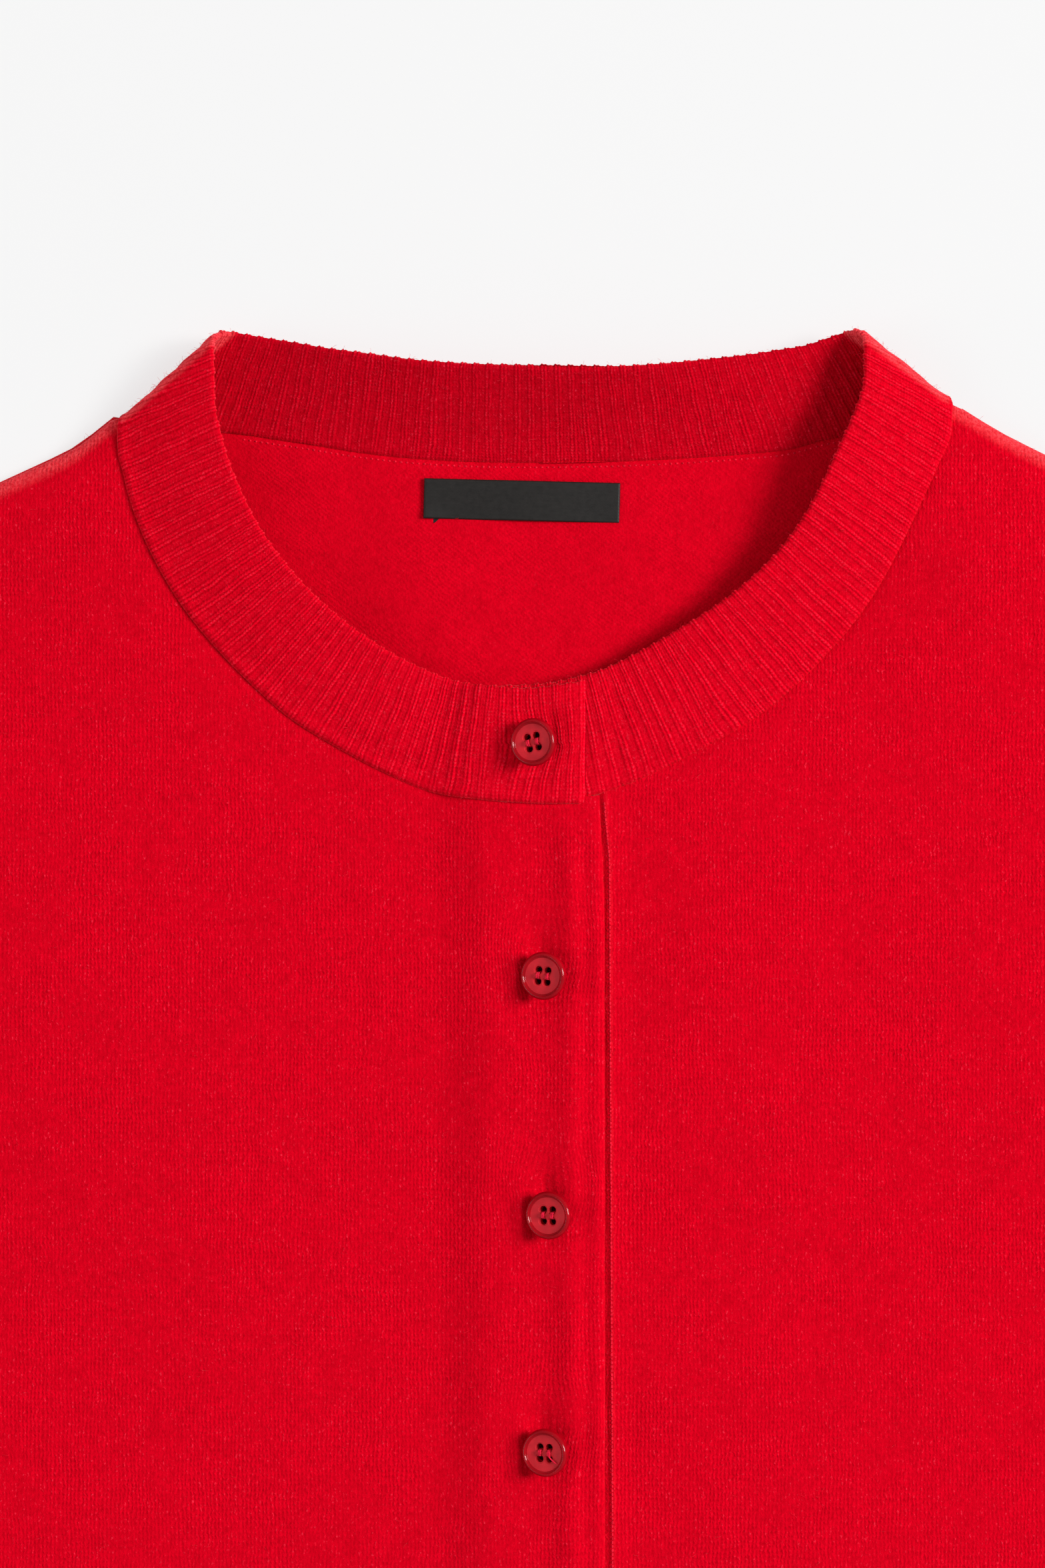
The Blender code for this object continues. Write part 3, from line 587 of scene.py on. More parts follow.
# ------------------------------------------------------------- back and fronts
UNDERARM_ROW = 0.52
HOLE_SHARES = np.concatenate([np.linspace(0, 0.95, 100)[1:],
                              [0.96, 0.969, 0.977, 0.984, 0.99, 0.994, 0.997, 0.999, 1.0]])
ROWS = np.concatenate([[0.0, 0.0008], np.linspace(0, UNDERARM_ROW, 72)[1:],
                       UNDERARM_ROW + (1 - UNDERARM_ROW) * HOLE_SHARES])
LAP_COLUMNS = np.concatenate([[0, 0.3, 0.7, 1.2, 1.9, 2.8], steps((3.8, 30.0, 1.2), (30.0, 44.0, 2.0))])
UNDER_COLUMNS = np.concatenate([[0, 2, 6, 11, 16, 20], steps((22.0, 32.0, 0.5), (32.0, 44.0, 2.0))])

FRONT_LEFT, FRONT_RIGHT = table(
    "word side sections fold edge_x lifted columns creases seed",
    ("left", 1, BAND_LEFT, FOLD_LEFT, under_edge_x, False, UNDER_COLUMNS, CREASES_LEFT, 31),
    ("right", -1, BAND_RIGHT, FOLD_RIGHT, lap_edge_x, True, LAP_COLUMNS, CREASES_RIGHT, 41))


def side_line(side):
    """The side seam and the armhole, at the panel's rows."""
    below = ROWS <= UNDERARM_ROW
    seam = straight((HEM_HALF * side, HEM_TOP_Y), (UNDERARM[0] * side, UNDERARM[1]),
                    ROWS[below] / UNDERARM_ROW)
    return np.concatenate([seam, armhole(HOLE_SHARES, side)])


def drawn_up(plan, fold):
    """The shoulder line, raised a little where it meets the fold of the band."""
    out = (plan[..., 0] - fold.seam_x) * fold.side
    up = plan[..., 1] - fold.seam_y
    plan[..., 1] += SHOULDER_DRAW[fold.side] * bump(out / 7.0) * bump(up / 8.0)
    return plan


def neck_line(front):
    """The neck edge of a front, drawn off the band's seam line by the gap of the seam."""
    neck = [(s.seam_x, s.seam_y) for s in front.sections] + [(front.fold.seam_x, front.fold.seam_y)]
    neck = np.array(neck, float)
    away = np.gradient(neck, axis=0)
    away = np.stack([away[:, 1], -away[:, 0]], axis=1) * front.side
    off = np.interp(np.arange(len(neck))[::-1], [0, 1, 3], [2.2, 1.7, 0.75])
    neck -= away / np.linalg.norm(away, axis=1)[:, None] * off[:, None]
    neck[0] = (front.edge_x(neck[0, 1]), neck[0, 1] + 1.5)
    return neck


def front_grid(front):
    """Plan of a front, how far each point is from its edges, and its neck's columns."""
    columns, side = front.columns, front.side
    neck = neck_line(front)
    neck_long = np.hypot(*np.diff(neck, axis=0).T).sum()
    shares = np.concatenate([columns, steps((columns[-1], neck_long, 3.6))[1:]]) / neck_long
    slope = np.concatenate([np.linspace(0, 0.93, 24)[1:], [0.95, 0.965, 0.978, 0.987, 0.994, 0.998, 1]])
    tip = np.array([SHOULDER_TIP[0] * side, SHOULDER_TIP[1]])
    top = np.concatenate([along(neck, shares), straight(neck[-1], tip, slope)])
    start = front.edge_x(HEM_TOP_Y)
    wide = abs(HEM_HALF * side - start)
    rest = np.linspace(0, 1, len(top) - len(columns) + 1)[1:]
    widths = np.concatenate([columns / wide, columns[-1] / wide + (1 - columns[-1] / wide) * rest])
    bottom = straight((start, HEM_TOP_Y), (HEM_HALF * side, HEM_TOP_Y), widths)
    heights = HEM_TOP_Y + (neck[0, 1] - HEM_TOP_Y) * ROWS
    left = np.stack([front.edge_x(heights), heights], axis=1)
    left[-1] = neck[0]
    plan = drawn_up(patch(bottom, top, left, side_line(side), widths, ROWS), front.fold)
    steps_out = np.hypot(*np.moveaxis(np.diff(plan, axis=1), -1, 0))
    from_free = np.pad(np.cumsum(steps_out, axis=1), ((0, 0), (1, 0)))
    steps_up = np.hypot(*np.moveaxis(np.diff(plan, axis=0), -1, 0))
    from_top = np.pad(np.cumsum(steps_up[::-1], axis=0)[::-1], ((0, 1), (0, 0)))
    return plan, from_free, from_free[:, -1:] - from_free, from_top, len(shares)


def make_front(front):
    """One front as a wall with its rolled edge, its seam dips and its creases."""
    plan, from_free, from_side, from_top, necks = front_grid(front)
    x, y = plan[..., 0], plan[..., 1]
    on_slope = np.arange(plan.shape[1])[None, :] >= necks - 1
    full = np.minimum(arc(from_side / EDGE_ROLL), np.where(on_slope, arc(from_top / 8.0), 1.0))
    free = arc(from_free / 6.0)
    neck_dip = np.where(on_slope, 0.0, bump(from_top / 1.7))
    neck_dip[:, necks - 1:] = neck_dip[:, necks - 2][:, None] * bump(
        from_free[:, necks - 1:] - from_free[:, necks - 1:necks])
    low = FRONT_LOW + loft(x, y) * full + 0.35 * (1 - free) - LAYER * (1 - full)
    relief = 0.20 * uneven(x, y, 58.0, front.seed) + 0.10 * uneven(x, y, 21.0, front.seed + 1)
    relief += creased(x, y, front.creases)
    relief *= ease(from_side / 14.0) * ease(from_top / 14.0) * ease(from_free / 20.0)
    # rim weights the nap: loose fibres and a painted sheen along the side seam, the shoulder slope and, on
    # the under front, beside the chain.
    seam_side = ease(1 - from_side / 5.0) * ease((UNDERARM_ROW - ROWS) / 0.02)[:, None]
    rim = np.maximum(seam_side, on_slope * ease(1 - from_top / 7.5))
    shift = 0.0
    if front.lifted:
        low += lap_rise(x, y)
        relief += placket(x, y) * ease(from_top / 16.0)
        shift = pulled(x, y)
    else:
        out = x - groove_x(y)
        relief -= 0.34 * bump((out - 0.4) / 0.95)
        relief += 0.75 * ease((8.0 - out) / 8.0) * ease((out + 1.8) / 1.5)
        relief += 0.26 * bump((out - CHAIN_OUT) / 0.8)
        rim = np.maximum(rim, 0.42 * bump((out - CHAIN_OUT - 0.5) / 0.7))
    thick = EDGE_WALL + (WALL - EDGE_WALL) * full - 1.45 * (1 - free) - 0.28 * neck_dip
    high = low + np.maximum(thick + relief * free, 0.35)
    low = np.where(relief > 0, low + 0.3 * relief, low)
    thing = closed_wall("front_%s_knit" % front.word, np.dstack([x, y, high]), np.dstack([x, y, low]),
                        stitch_grid(x + shift, y), "knit_outside", nap=0.25 + 0.75 * rim)
    hand_over(thing, "knit", "front_" + front.word)
    plan_area(plan)


def make_back():
    """The back, flat on the table, with a little unevenness where the neck opens."""
    seam = np.array([(s.seam_x, s.seam_y) for s in (FOLD_RIGHT, *BAND_BACK, FOLD_LEFT)])
    seam += np.array([0, 0.5])
    seam[0] += (-0.8, -0.9)
    seam[-1] += (0.8, -0.9)
    neck = along(seam, np.linspace(0, 1, 61))
    slope = np.concatenate([[0, 0.003, 0.008, 0.016, 0.03, 0.05], np.linspace(0.09, 0.94, 16)])
    tip_x, tip_y = SHOULDER_TIP
    top = np.concatenate([straight((-tip_x, tip_y), neck[0], slope), neck,
                          straight(neck[-1], (tip_x, tip_y), 1 - slope[::-1])])
    shares = slope * 0.27
    widths = np.concatenate([shares, np.linspace(0.27, 0.73, 61), 1 - shares[::-1]])
    bottom = straight((-HEM_HALF, HEM_TOP_Y), (HEM_HALF, HEM_TOP_Y), widths)
    rows = np.concatenate([[0, 1], np.arange(3, 166, 2), np.arange(166, len(ROWS))])
    plan = patch(bottom, top, side_line(-1)[rows], side_line(1)[rows], widths, ROWS[rows])
    plan = drawn_up(drawn_up(plan, FOLD_RIGHT), FOLD_LEFT)
    x, y = plan[..., 0], plan[..., 1]
    from_side = np.minimum(widths, 1 - widths)[None, :] * (x[:, -1] - x[:, 0])[:, None]
    drop = y[-1:] - y
    on_slope = np.ones((1, len(widths)), bool)
    on_slope[:, len(slope) + 1:-len(slope) - 1] = False
    full = np.minimum(arc(from_side / EDGE_ROLL), np.where(on_slope, arc(drop / 8.0), 1.0))
    in_neck = ease((88 - np.hypot(x * 0.95, y + 8)) / 30)
    relief = (0.35 * uneven(x, y, 44.0, 21) + 0.25) * in_neck * ease(drop / 12)
    low = (WALL - EDGE_WALL) * (1 - full)
    high = WALL + relief - 0.5 * bump(drop / 1.2) * ~on_slope
    # The nap, loose fibres and a painted sheen, is thickest at the rounded edges.
    thing = closed_wall("back_knit", np.dstack([x, y, high]), np.dstack([x, y, low]),
                        stitch_grid(x, y), "knit_inside", nap=0.2 + 0.8 * (1 - full))
    hand_over(thing, "knit", "back")
    plan_area(plan)


# ---------------------------------------------------------------- neckband
def beside(flat, fold):
    """How far plan points are beyond a shoulder fold, which way, and its radius there."""
    start = np.array([fold.seam_x, fold.seam_y])
    line = np.array([fold.tip_x, fold.tip_y]) - start
    long = np.linalg.norm(line)
    line = line / long
    out = np.array([line[1], -line[0]]) * fold.side
    share = np.clip((flat - start) @ line / long, 0, 1)
    return (flat - start) @ out, out, FOLD_R[0] + (FOLD_R[1] - FOLD_R[0]) * share


def unfold(point, fold):
    """Lay a plan point of the lower layer out flat beyond its shoulder fold."""
    beyond, out, radius = beside(point, fold)
    return point + out * (-2 * beyond + (pi - 2) * radius)


def fold_over(flat, upper, lower, fold):
    """Take flat points round the shoulder fold: plan, then height between two layers."""
    beyond, out, radius = beside(flat, fold)
    angle = np.clip((beyond + radius) / radius, 0, pi)
    round_to = -radius * (1 - np.sin(angle))
    round_to = np.where(angle >= pi, -(beyond - (pi - 2) * radius), round_to)
    round_to = np.where(angle <= 0, beyond, round_to)
    plan = flat + (round_to - beyond)[..., None] * out
    height = lower + (upper - lower) * (1 + np.cos(angle)) / 2
    return np.concatenate([plan, height[..., None]], axis=-1)


def band_rows(front):
    """The band laid out flat past one fold, with the heights of its two layers."""
    rows = []
    seam_top, free_top = BAND_BACK_Z + 2 * FOLD_R[0], TIP_Z + 2 * FOLD_R[1]
    for s in front.sections:
        lift = lap_rise(s.seam_x, s.seam_y) / LAP_RISE if front.lifted else 0.0
        seam_z = FRONT_LOW + WALL / 2 + 0.3 + loft(s.seam_x, s.seam_y) + lift * (LAP_RISE + 0.5)
        rows.append([*s[:4], seam_z, seam_z + s.rise, BAND_BACK_Z, TIP_Z])
    for s in BAND_BACK if front.side < 0 else BAND_BACK[::-1]:
        seam, free = (unfold(np.array(point), front.fold) for point in (s[:2], s[2:4]))
        rows.append([*seam, *free, seam_top, free_top, BAND_BACK_Z, s.rise])
    rows = np.array(rows)
    gap = len(front.sections)
    middle = []
    for share in (0.25, 0.5, 0.75):
        step = rows[gap - 1] * (1 - share) + rows[gap] * share
        step[5] = rows[gap - 1][5] * (1 - share) + free_top * share
        middle.append(step)
    return np.concatenate([rows[:gap], middle, rows[gap:]])


def band_point(number, across, rows, fold):
    """Points of the band's middle surface, at row numbers and shares across it."""
    values = through(rows, number)
    share = across[..., None]
    flat = values[..., 0:2] * (1 - share) + values[..., 2:4] * share
    bulge = 0.35 * np.sin(pi * across)
    upper = values[..., 4] * (1 - across) + values[..., 5] * across + bulge
    back_curve = across ** 1.35
    lower = values[..., 6] * (1 - back_curve) + values[..., 7] * back_curve
    return fold_over(flat, upper, lower, fold)


def band_half(rows, fold, numbers):
    """Middle points and outward directions of one half of the band."""
    number, share = np.meshgrid(numbers, BAND_ACROSS, indexing="ij")
    small = 0.02
    centre = band_point(number, share, rows, fold)
    long_way = (band_point(np.minimum(number + small, len(rows) - 1.0), share, rows, fold)
                - band_point(np.maximum(number - small, 0), share, rows, fold))
    wide_way = (band_point(number, np.minimum(share + small, 1), rows, fold)
                - band_point(number, np.maximum(share - small, 0), rows, fold))
    facing = np.cross(wide_way, long_way) * -fold.side
    return centre, facing / np.linalg.norm(facing, axis=-1)[..., None]


PER_RIB = 10            # columns of points on one rib
BAND_ACROSS = np.concatenate([[0, 0.006, 0.02, 0.045, 0.08, 0.14, 0.21, 0.29, 0.37],
                              np.linspace(0.44, 0.60, 9),
                              [0.67, 0.75, 0.83, 0.90, 0.95, 0.975, 0.988, 0.996, 1.0]])


def rib_relief(phase):
    """Height over one rib, 0 to 1: a narrow wale, a softer one and a broad low one."""
    p = np.mod(phase, 1.0)
    height = np.zeros_like(p)
    for shift in (-1, 0, 1):
        for rise, at, half in ((1.00, 0.13, 0.10), (0.72, 0.39, 0.12), (0.34, 0.75, 0.20)):
            height += rise * bump((p + shift - at) / half)
    return height


def rib_height(phase):
    """Height of the ribs in millimetres, over the wall's middle."""
    return sizes().rib_depth / MM * (rib_relief(phase) - 0.35)


def drawn_aside(x, y):
    """How far the ribs round the top button are pulled towards the lap's edge."""
    rest = np.clip((10.3 - x) / 11.0, 0, 1)
    dy = y - SLIT_Y
    above = 2.1 * bump(dy / 6.5) * ease((x + 13.0) / 9.0) * rest
    below = 2.8 * bump(dy / 6.5) * ease((x + 14.0) / 10.0) * rest
    return np.where(dy > 0, above, below)


def band_strip():
    """Middle points and outward directions of the band, the lap's columns, its length."""
    halves, long = [], 0.0
    for front in (FRONT_RIGHT, FRONT_LEFT):
        rows = band_rows(front)
        fine = np.linspace(0, len(front.sections) + 3 + 6, 60 * len(rows))
        values = through(rows, fine)
        middle = (values[:, 0:2] + values[:, 2:4]) / 2
        run = np.concatenate([[0], np.cumsum(np.hypot(*np.diff(middle, axis=0).T))])
        count = int(round(run[-1] / RIB_PITCH)) * PER_RIB
        numbers = np.interp(np.linspace(0, run[-1], count + 1), run, fine)
        halves.append(band_half(rows, front.fold, numbers))
        long += run[-1]
    centre, facing = (np.concatenate([one, two[-2::-1]]) for one, two in zip(*halves))
    return centre, facing, len(halves[0][0]) - 1, long


def make_neckband():
    """One ribbed strip from centre front to centre front, folded at both shoulders."""
    centre, facing, lap_columns, long = band_strip()
    number = np.arange(len(centre))[:, None]
    share = BAND_ACROSS[None, :]
    from_seam = share * BAND_DEEP
    from_end = np.minimum(number, len(centre) - 1 - number) * RIB_PITCH / PER_RIB
    lap_end = number < lap_columns
    phase = number / PER_RIB + 0.06 * uneven(number, from_seam, 37.0, 3)
    shown = ease((from_seam - 1.6) / 1.6) * ease((from_end - 0.2) / 0.7)
    free_roll = arc((BAND_DEEP - from_seam) / 1.0)
    rounding = arc(from_seam / 1.3) * free_roll * arc(from_end / np.where(lap_end, 2.8, 1.0))
    roll = 0.60 * bump((from_seam - 1.3) / 1.2)
    edge_way = centre[:, -1] - centre[:, -7]
    edge_way /= np.linalg.norm(edge_way, axis=1)[:, None]
    scallop = 0.55 * (rib_relief(phase) - 0.5) * shown * ease((share - 0.93) / 0.07)
    centre = centre + edge_way[:, None, :] * scallop[..., None]
    in_front = centre[..., 2] > FRONT_LOW
    right = lap_end & in_front
    x, y = centre[..., 0], centre[..., 1]
    slit = ease((x + 13.5) / 5.0) * ease((-4.0 - x) / 1.5) * right * bump((y - SLIT_Y) / 0.5)
    slit *= 0.10 + 1.1 * bump((x + 7.0) / 1.2)
    pull = dimples(x - BUTTONS[0].x, y - BUTTONS[0].y, AT_TOP_BUTTON) * right - slit
    half = BAND_WALL / 2 * rounding
    outer = half + (rib_height(phase) * shown + roll) * rounding + pull
    inner = half + 0.55 * rib_height(0.5 - phase) * shown * rounding
    high = centre + facing * outer[..., None]
    low = centre - facing * inner[..., None]
    near = right & (x > -40)
    aside = np.where(near, drawn_aside(x, y), 0.0)
    high[..., 0] += aside
    low[..., 0] += aside
    high[..., 2] += np.where(near, 0.5 * bump((x - 4.0) / 4.5) * ease((y + 89.0) / 6.0), 0.0)
    both = -0.55 * ease(1 - from_end / 1.8) * lap_end
    both = both - 0.60 * ease(1 - from_seam / 2.6) * ease((x - 12.0) / 20.0) * in_front
    sink = np.where(lap_end, -0.45 * ease(1 - from_end / 9.0), 0.85 * ease((19.0 - x) / 7.0))
    high[..., 2] += sink + both
    low[..., 2] += np.where(lap_end, 0.5 * sink, 0.0) + both
    # turned marks the band's faces that turn to the side at the shoulder folds; with the free edge's roll
    # it weights the nap: loose fibres and a painted sheen.
    turned = ease((1.0 - np.abs(facing[..., 2])) / 0.32) * ease((np.abs(x) - 52.0) / 14.0)
    nap = 0.35 + 0.65 * np.maximum(0.5 * (1 - free_roll), turned)
    nap *= 0.35 + 0.65 * ease((from_seam - 0.6) / 2.4)
    stitches = np.stack(np.broadcast_arrays(phase * 4.0, from_seam / 0.9), axis=-1)
    thing = closed_wall("neckband_rib", high, low, stitches, "knit_ribbed", nap=nap,
                        lining="knit_ribbed_inside")
    hand_over(thing, "rib", "neckband")


# ----------------------------------------------------------- sleeves and cuffs
def tube_ring(width, shares, relief_of=np.zeros_like):
    """Distance from the upper fold and height, round a flattened tube, for both faces."""
    middle = WALL + LAYER / 2
    radius = 2.4
    turn = np.linspace(0, pi / 2, 7)
    inward, rising = radius * (1 - np.cos(turn)), np.sin(turn)
    lay = radius + 0.2 + shares * (width - 2 * radius - 0.4)
    under = np.linspace(radius, width - radius, 14)[1:-1][::-1]
    upper_half = [(inward, middle * (1 + rising)), (lay, 2 * middle + relief_of(lay)),
                  (width - inward[::-1], middle * (1 + rising[::-1]))]
    lower_half = [(width - inward[1:], middle * (1 - rising[1:])), (under, 0 * under),
                  (inward[:0:-1], middle * (1 - rising[:0:-1]))]
    outer = np.concatenate([np.column_stack(part) for part in upper_half + lower_half])
    centre = np.clip(outer[:, 0], WALL + 0.35, width - WALL - 0.35)
    off = (outer[:, 0] - centre) / (WALL + 0.35)
    flat = np.where(outer[:, 1] > middle, LAYER / 2, -LAYER / 2)
    height = middle + flat * np.minimum(1, np.abs(outer[:, 1] / middle - 1))
    return outer, np.column_stack([centre + 0.35 * off, height])


def around(ring):
    """Distance round a closed ring of points, one value more than it has points."""
    closed = np.concatenate([ring, ring[:1]])
    return np.concatenate([[0], np.cumsum(np.linalg.norm(np.diff(closed, axis=0), axis=1))])


def make_sleeve(word, side, seed):
    """A sleeve as a flattened tube, from its armhole seam to its cuff."""
    edge_shares = np.linspace(0, 1, 61)
    edge = armhole(edge_shares[::-1], 1)
    bows = edge - straight(edge[0], edge[-1], edge_shares)
    last = len(SLEEVE) - 1.0
    even = np.linspace(0.14, last, 118)
    numbers = np.concatenate([[0, 0.02, 0.05, 0.09], even[:-1], [last - 0.004, last]])
    to_end = (last - numbers) / (even[1] - even[0])
    rows = through(SLEEVE, numbers)
    mirror = np.array([side, 1.0])
    run = 0.0
    outer, inner, stitches, plans, naps_and_sheen = [], [], [], [], []
    for k, row in enumerate(rows):
        upper, lower = row[0:2], row[2:4]
        width = np.linalg.norm(upper - lower)
        ring_out, ring_in = tube_ring(width, np.linspace(0, 1, 58))
        if k:
            run += np.linalg.norm((upper + lower) / 2 - (rows[k - 1][0:2] + rows[k - 1][2:4]) / 2)

        def plan(d):
            share = np.clip(d / width, 0, 1)
            bow = [np.interp(share, edge_shares, bows[:, axis]) for axis in (0, 1)]
            return straight(upper, lower, share) + np.stack(bow, axis=-1) * max(row[4], 0)

        across, z = ring_out[:, 0], ring_out[:, 1].copy()
        out_plan = plan(across)
        on_top = z > WALL + LAYER / 2
        from_fold = np.minimum(across, width - across)
        relief = 0.9 * creased(out_plan[:, 0] + 3.0 * side, out_plan[:, 1], CREASES_SLEEVE)
        relief += 0.2 * uneven(out_plan[:, 0], out_plan[:, 1], 52.0, seed)
        ends = ease(run / 10.0) * ease(to_end[k] / 4.0)
        z += np.where(on_top, relief * ease(from_fold / 12.0) * ends, 0.0)
        seam = 0.75 * bump(run / 1.3) + 0.75 * bump(to_end[k] * 0.9)
        z = np.where(on_top, z - seam * ease((z - 1.95) / 1.95), z)
        wales = around(ring_out) * MM / sizes().wale
        outer.append(np.column_stack([out_plan * mirror, z]))
        inner.append(np.column_stack([plan(ring_in[:, 0]) * mirror, ring_in[:, 1]]))
        stitches.append(np.stack([wales, np.full_like(wales, -run * MM / sizes().course)], axis=-1))
        plans.append(plan(np.linspace(0, width, 12)))
        # Nap along the folds: loose fibres and a painted sheen.
        naps_and_sheen.append(0.25 + 0.75 * bump(from_fold / 1.8))
    thing = closed_wall("sleeve_%s_knit" % word, np.array(outer), np.array(inner),
                        np.array(stitches), "knit_outside", ring=True, nap=np.array(naps_and_sheen))
    hand_over(thing, "knit", "sleeve_" + word)
    widest = 2 * float(np.linalg.norm(rows[0][0:2] - rows[0][2:4])) * MM
    area = 2 * plan_area(np.array(plans))


def make_cuff(word, side):
    """A ribbed cuff, ribs on its upper face and flat underneath."""
    across = (WRIST_UPPER - WRIST_LOWER) / np.linalg.norm(WRIST_UPPER - WRIST_LOWER)
    down = np.array([across[1], -across[0]])
    centre = (WRIST_UPPER + WRIST_LOWER) / 2 + np.array([0.45, 0])
    ribs = int(2 * CUFF_HALF[0] // HEM_RIB_PITCH)
    shares = np.linspace(0, 1, ribs * 8 + 1)
    plain = around(tube_ring(2 * CUFF_HALF[0], shares)[0])
    wales = (plain - plain[7] + 2.6) * 4 * ribs / (2 * CUFF_HALF[0])
    outer, inner, stitches = [], [], []
    for run in steps((-0.3, 0.6, 0.3), (0.6, 3.0, 0.8), (3.0, 57.0, 5.4), (57.0, 59.2, 1.1),
                     (59.2, CUFF_LONG, 0.2)):
        half = CUFF_HALF[0] + (CUFF_HALF[1] - CUFF_HALF[0]) * run / CUFF_LONG
        half += 0.8 * bump((run - 34) / 16.0)
        width = 2 * half
        start = centre + down * run + across * half
        end = centre + down * run - across * half
        shown = ease((run - 0.8) / 1.6)
        ring_out, ring_in = tube_ring(width, shares, lambda d: rib_height(d / width * ribs) * shown)
        rounding = 0.55 + 0.45 * arc((run + 0.3) / 0.9)
        rounding *= 0.25 + 0.75 * arc((CUFF_LONG - run) / 0.9)
        middle = (ring_out + ring_in) / 2
        ring_out = middle + (ring_out - middle) * rounding
        for ring, keep in ((ring_out, outer), (ring_in, inner)):
            plan = straight(start, end, ring[:, 0] / width) * np.array([side, 1.0])
            keep.append(np.column_stack([plan, ring[:, 1]]))
        stitches.append(np.stack([wales, np.full_like(wales, -run / 0.95)], axis=-1))
    outer = np.array(outer)
    # The nap, loose fibres and a painted sheen, is thickest at the cuff's folded sides.
    thing = closed_wall("cuff_%s_rib" % word, outer, np.array(inner), np.array(stitches),
                        "knit_ribbed", ring=True, nap=0.3 + 0.7 * bump((outer[..., 2] - 1.95) / 1.2))
    hand_over(thing, "rib", "cuff_" + word)


# -------------------------------------------------------------------- hems
HEM_RUNS = steps((0, 0.6, 0.3), (0.6, 3.0, 0.8), (3.0, 47.0, 7.4), (47.0, 49.0, 1.0),
                 (49.0, HEM_DEEP, 0.2))


def hem_piece(word, x, y, high, low, phase, nap):
    """A hem's wall from its grids, handed over with its cut."""
    thing = closed_wall("hem_%s_rib" % word, np.dstack([x, y, high]), np.dstack([x, y, low]),
                        np.stack([phase * 4.0, y / 0.95], axis=-1), "knit_ribbed", nap=nap)
    hand_over(thing, "rib", "hem_" + word)


def make_hem(front):
    """The ribbed hem of one front."""
    start, end = float(front.edge_x(HEM_TOP_Y)), HEM_HALF * front.side
    ribs = int(round(abs(end - start) / HEM_RIB_PITCH))
    x, runs = np.meshgrid(np.linspace(start, end, ribs * PER_RIB + 1), HEM_RUNS)
    y = HEM_TOP_Y - runs
    inward = np.abs(x - start)
    phase = inward / abs(end - start) * ribs + 0.08 * uneven(x, y, 41.0, 8)
    rounding = arc(runs / 0.8) * arc((HEM_DEEP - runs) / 0.9) * arc(inward / 1.6)
    full = arc(np.abs(x - end) / EDGE_ROLL)
    low = FRONT_LOW - LAYER * (1 - full)
    relief = rib_height(phase) * ease((runs - 0.8) / 1.6)
    relief += 0.25 * uneven(x, y, 47.0, 12) * ease(runs / 12.0)
    if front.lifted:
        low += lap_rise(x, HEM_TOP_Y)
        relief += placket(x, y)
    else:
        relief *= ease((inward - LAP_WIDE) / 6.0)
    thick = (EDGE_WALL + (WALL - EDGE_WALL) * full) * (0.35 + 0.65 * rounding)
    high = low + thick + relief * rounding
    low += 0.25 * (1 - rounding) * WALL
    # The nap, loose fibres and a painted sheen, is thickest at the rounded side edge.
    hem_piece(front.word, x, y, high, low, phase, 0.25 + 0.75 * (1 - full))


def make_hem_back():
    """The hem of the back, flat on the table under the front hems."""
    ribs = int(2 * HEM_HALF / HEM_RIB_PITCH)
    x, runs = np.meshgrid(np.linspace(-HEM_HALF, HEM_HALF, ribs * 4 + 1), HEM_RUNS)
    full = arc((HEM_HALF - np.abs(x)) / EDGE_ROLL)
    rounding = arc(runs / 0.8) * arc((HEM_DEEP - runs) / 0.9)
    phase = (x + HEM_HALF) / HEM_RIB_PITCH
    low = (WALL - EDGE_WALL) * (1 - full) + 0.3 * WALL * (1 - rounding)
    high = WALL - 0.3 * WALL * (1 - rounding) + 0.12 * (rib_relief(phase) - 0.5) * rounding
    # The nap, loose fibres and a painted sheen, is thickest at the rounded ends.
    hem_piece("back", x, HEM_TOP_Y - runs, high, low, phase, 0.2 + 0.8 * (1 - full))


# ------------------------------------------------------------------- label
def on_label(u, v):
    """Garment places of points on the label, from its middle."""
    turn = radians(LABEL_TURN)
    return LABEL_AT[0] + u * cos(turn) - v * sin(turn), LABEL_AT[1] + u * sin(turn) + v * cos(turn)


def tape(name, u, v, high, low):
    """A piece of the label's tape as a wall."""
    x, y = on_label(u, v)
    return closed_wall(name, np.dstack([x, y, high]), np.dstack([x, y, low]),
                       np.stack([u / 0.30, v / 0.30], axis=-1), "label_satin")


def make_label():
    """A woven satin tape, bare, tacked inside the back."""
    wide, deep, thick = LABEL_SIZE
    u, v = np.meshgrid(*(steps((-half, -half + rim, 0.2), (-half + rim, half - rim, rim),
                               (half - rim, half, 0.2))
                         for half, rim in ((wide / 2, 1.2), (deep / 2, 0.8))))
    edge = arc((wide / 2 - np.abs(u)) / 0.45) * arc((deep / 2 - np.abs(v)) / 0.35)
    lift = 0.20 + 0.15 * np.sin(u / 6.0 + 1.0)
    lift += 0.35 * bump((u + wide / 2) / 4.0) * bump((v + deep / 2) / 3.0)
    low = WALL + LAYER + lift
    thing = tape("label_tape", u, v, low + thick * (0.35 + 0.65 * edge), low)
    hand_over(thing, "label", "neck_label")
    u, v = np.meshgrid(np.linspace(-21.0, -17.8, 5), np.linspace(-deep / 2 - 1.0, -deep / 2 + 1.0, 5))
    end = tape("label_turned_in", u, v, WALL + 0.50 + 0 * u, WALL + 0.22 + 0 * u)
    hand_over(end, "label")


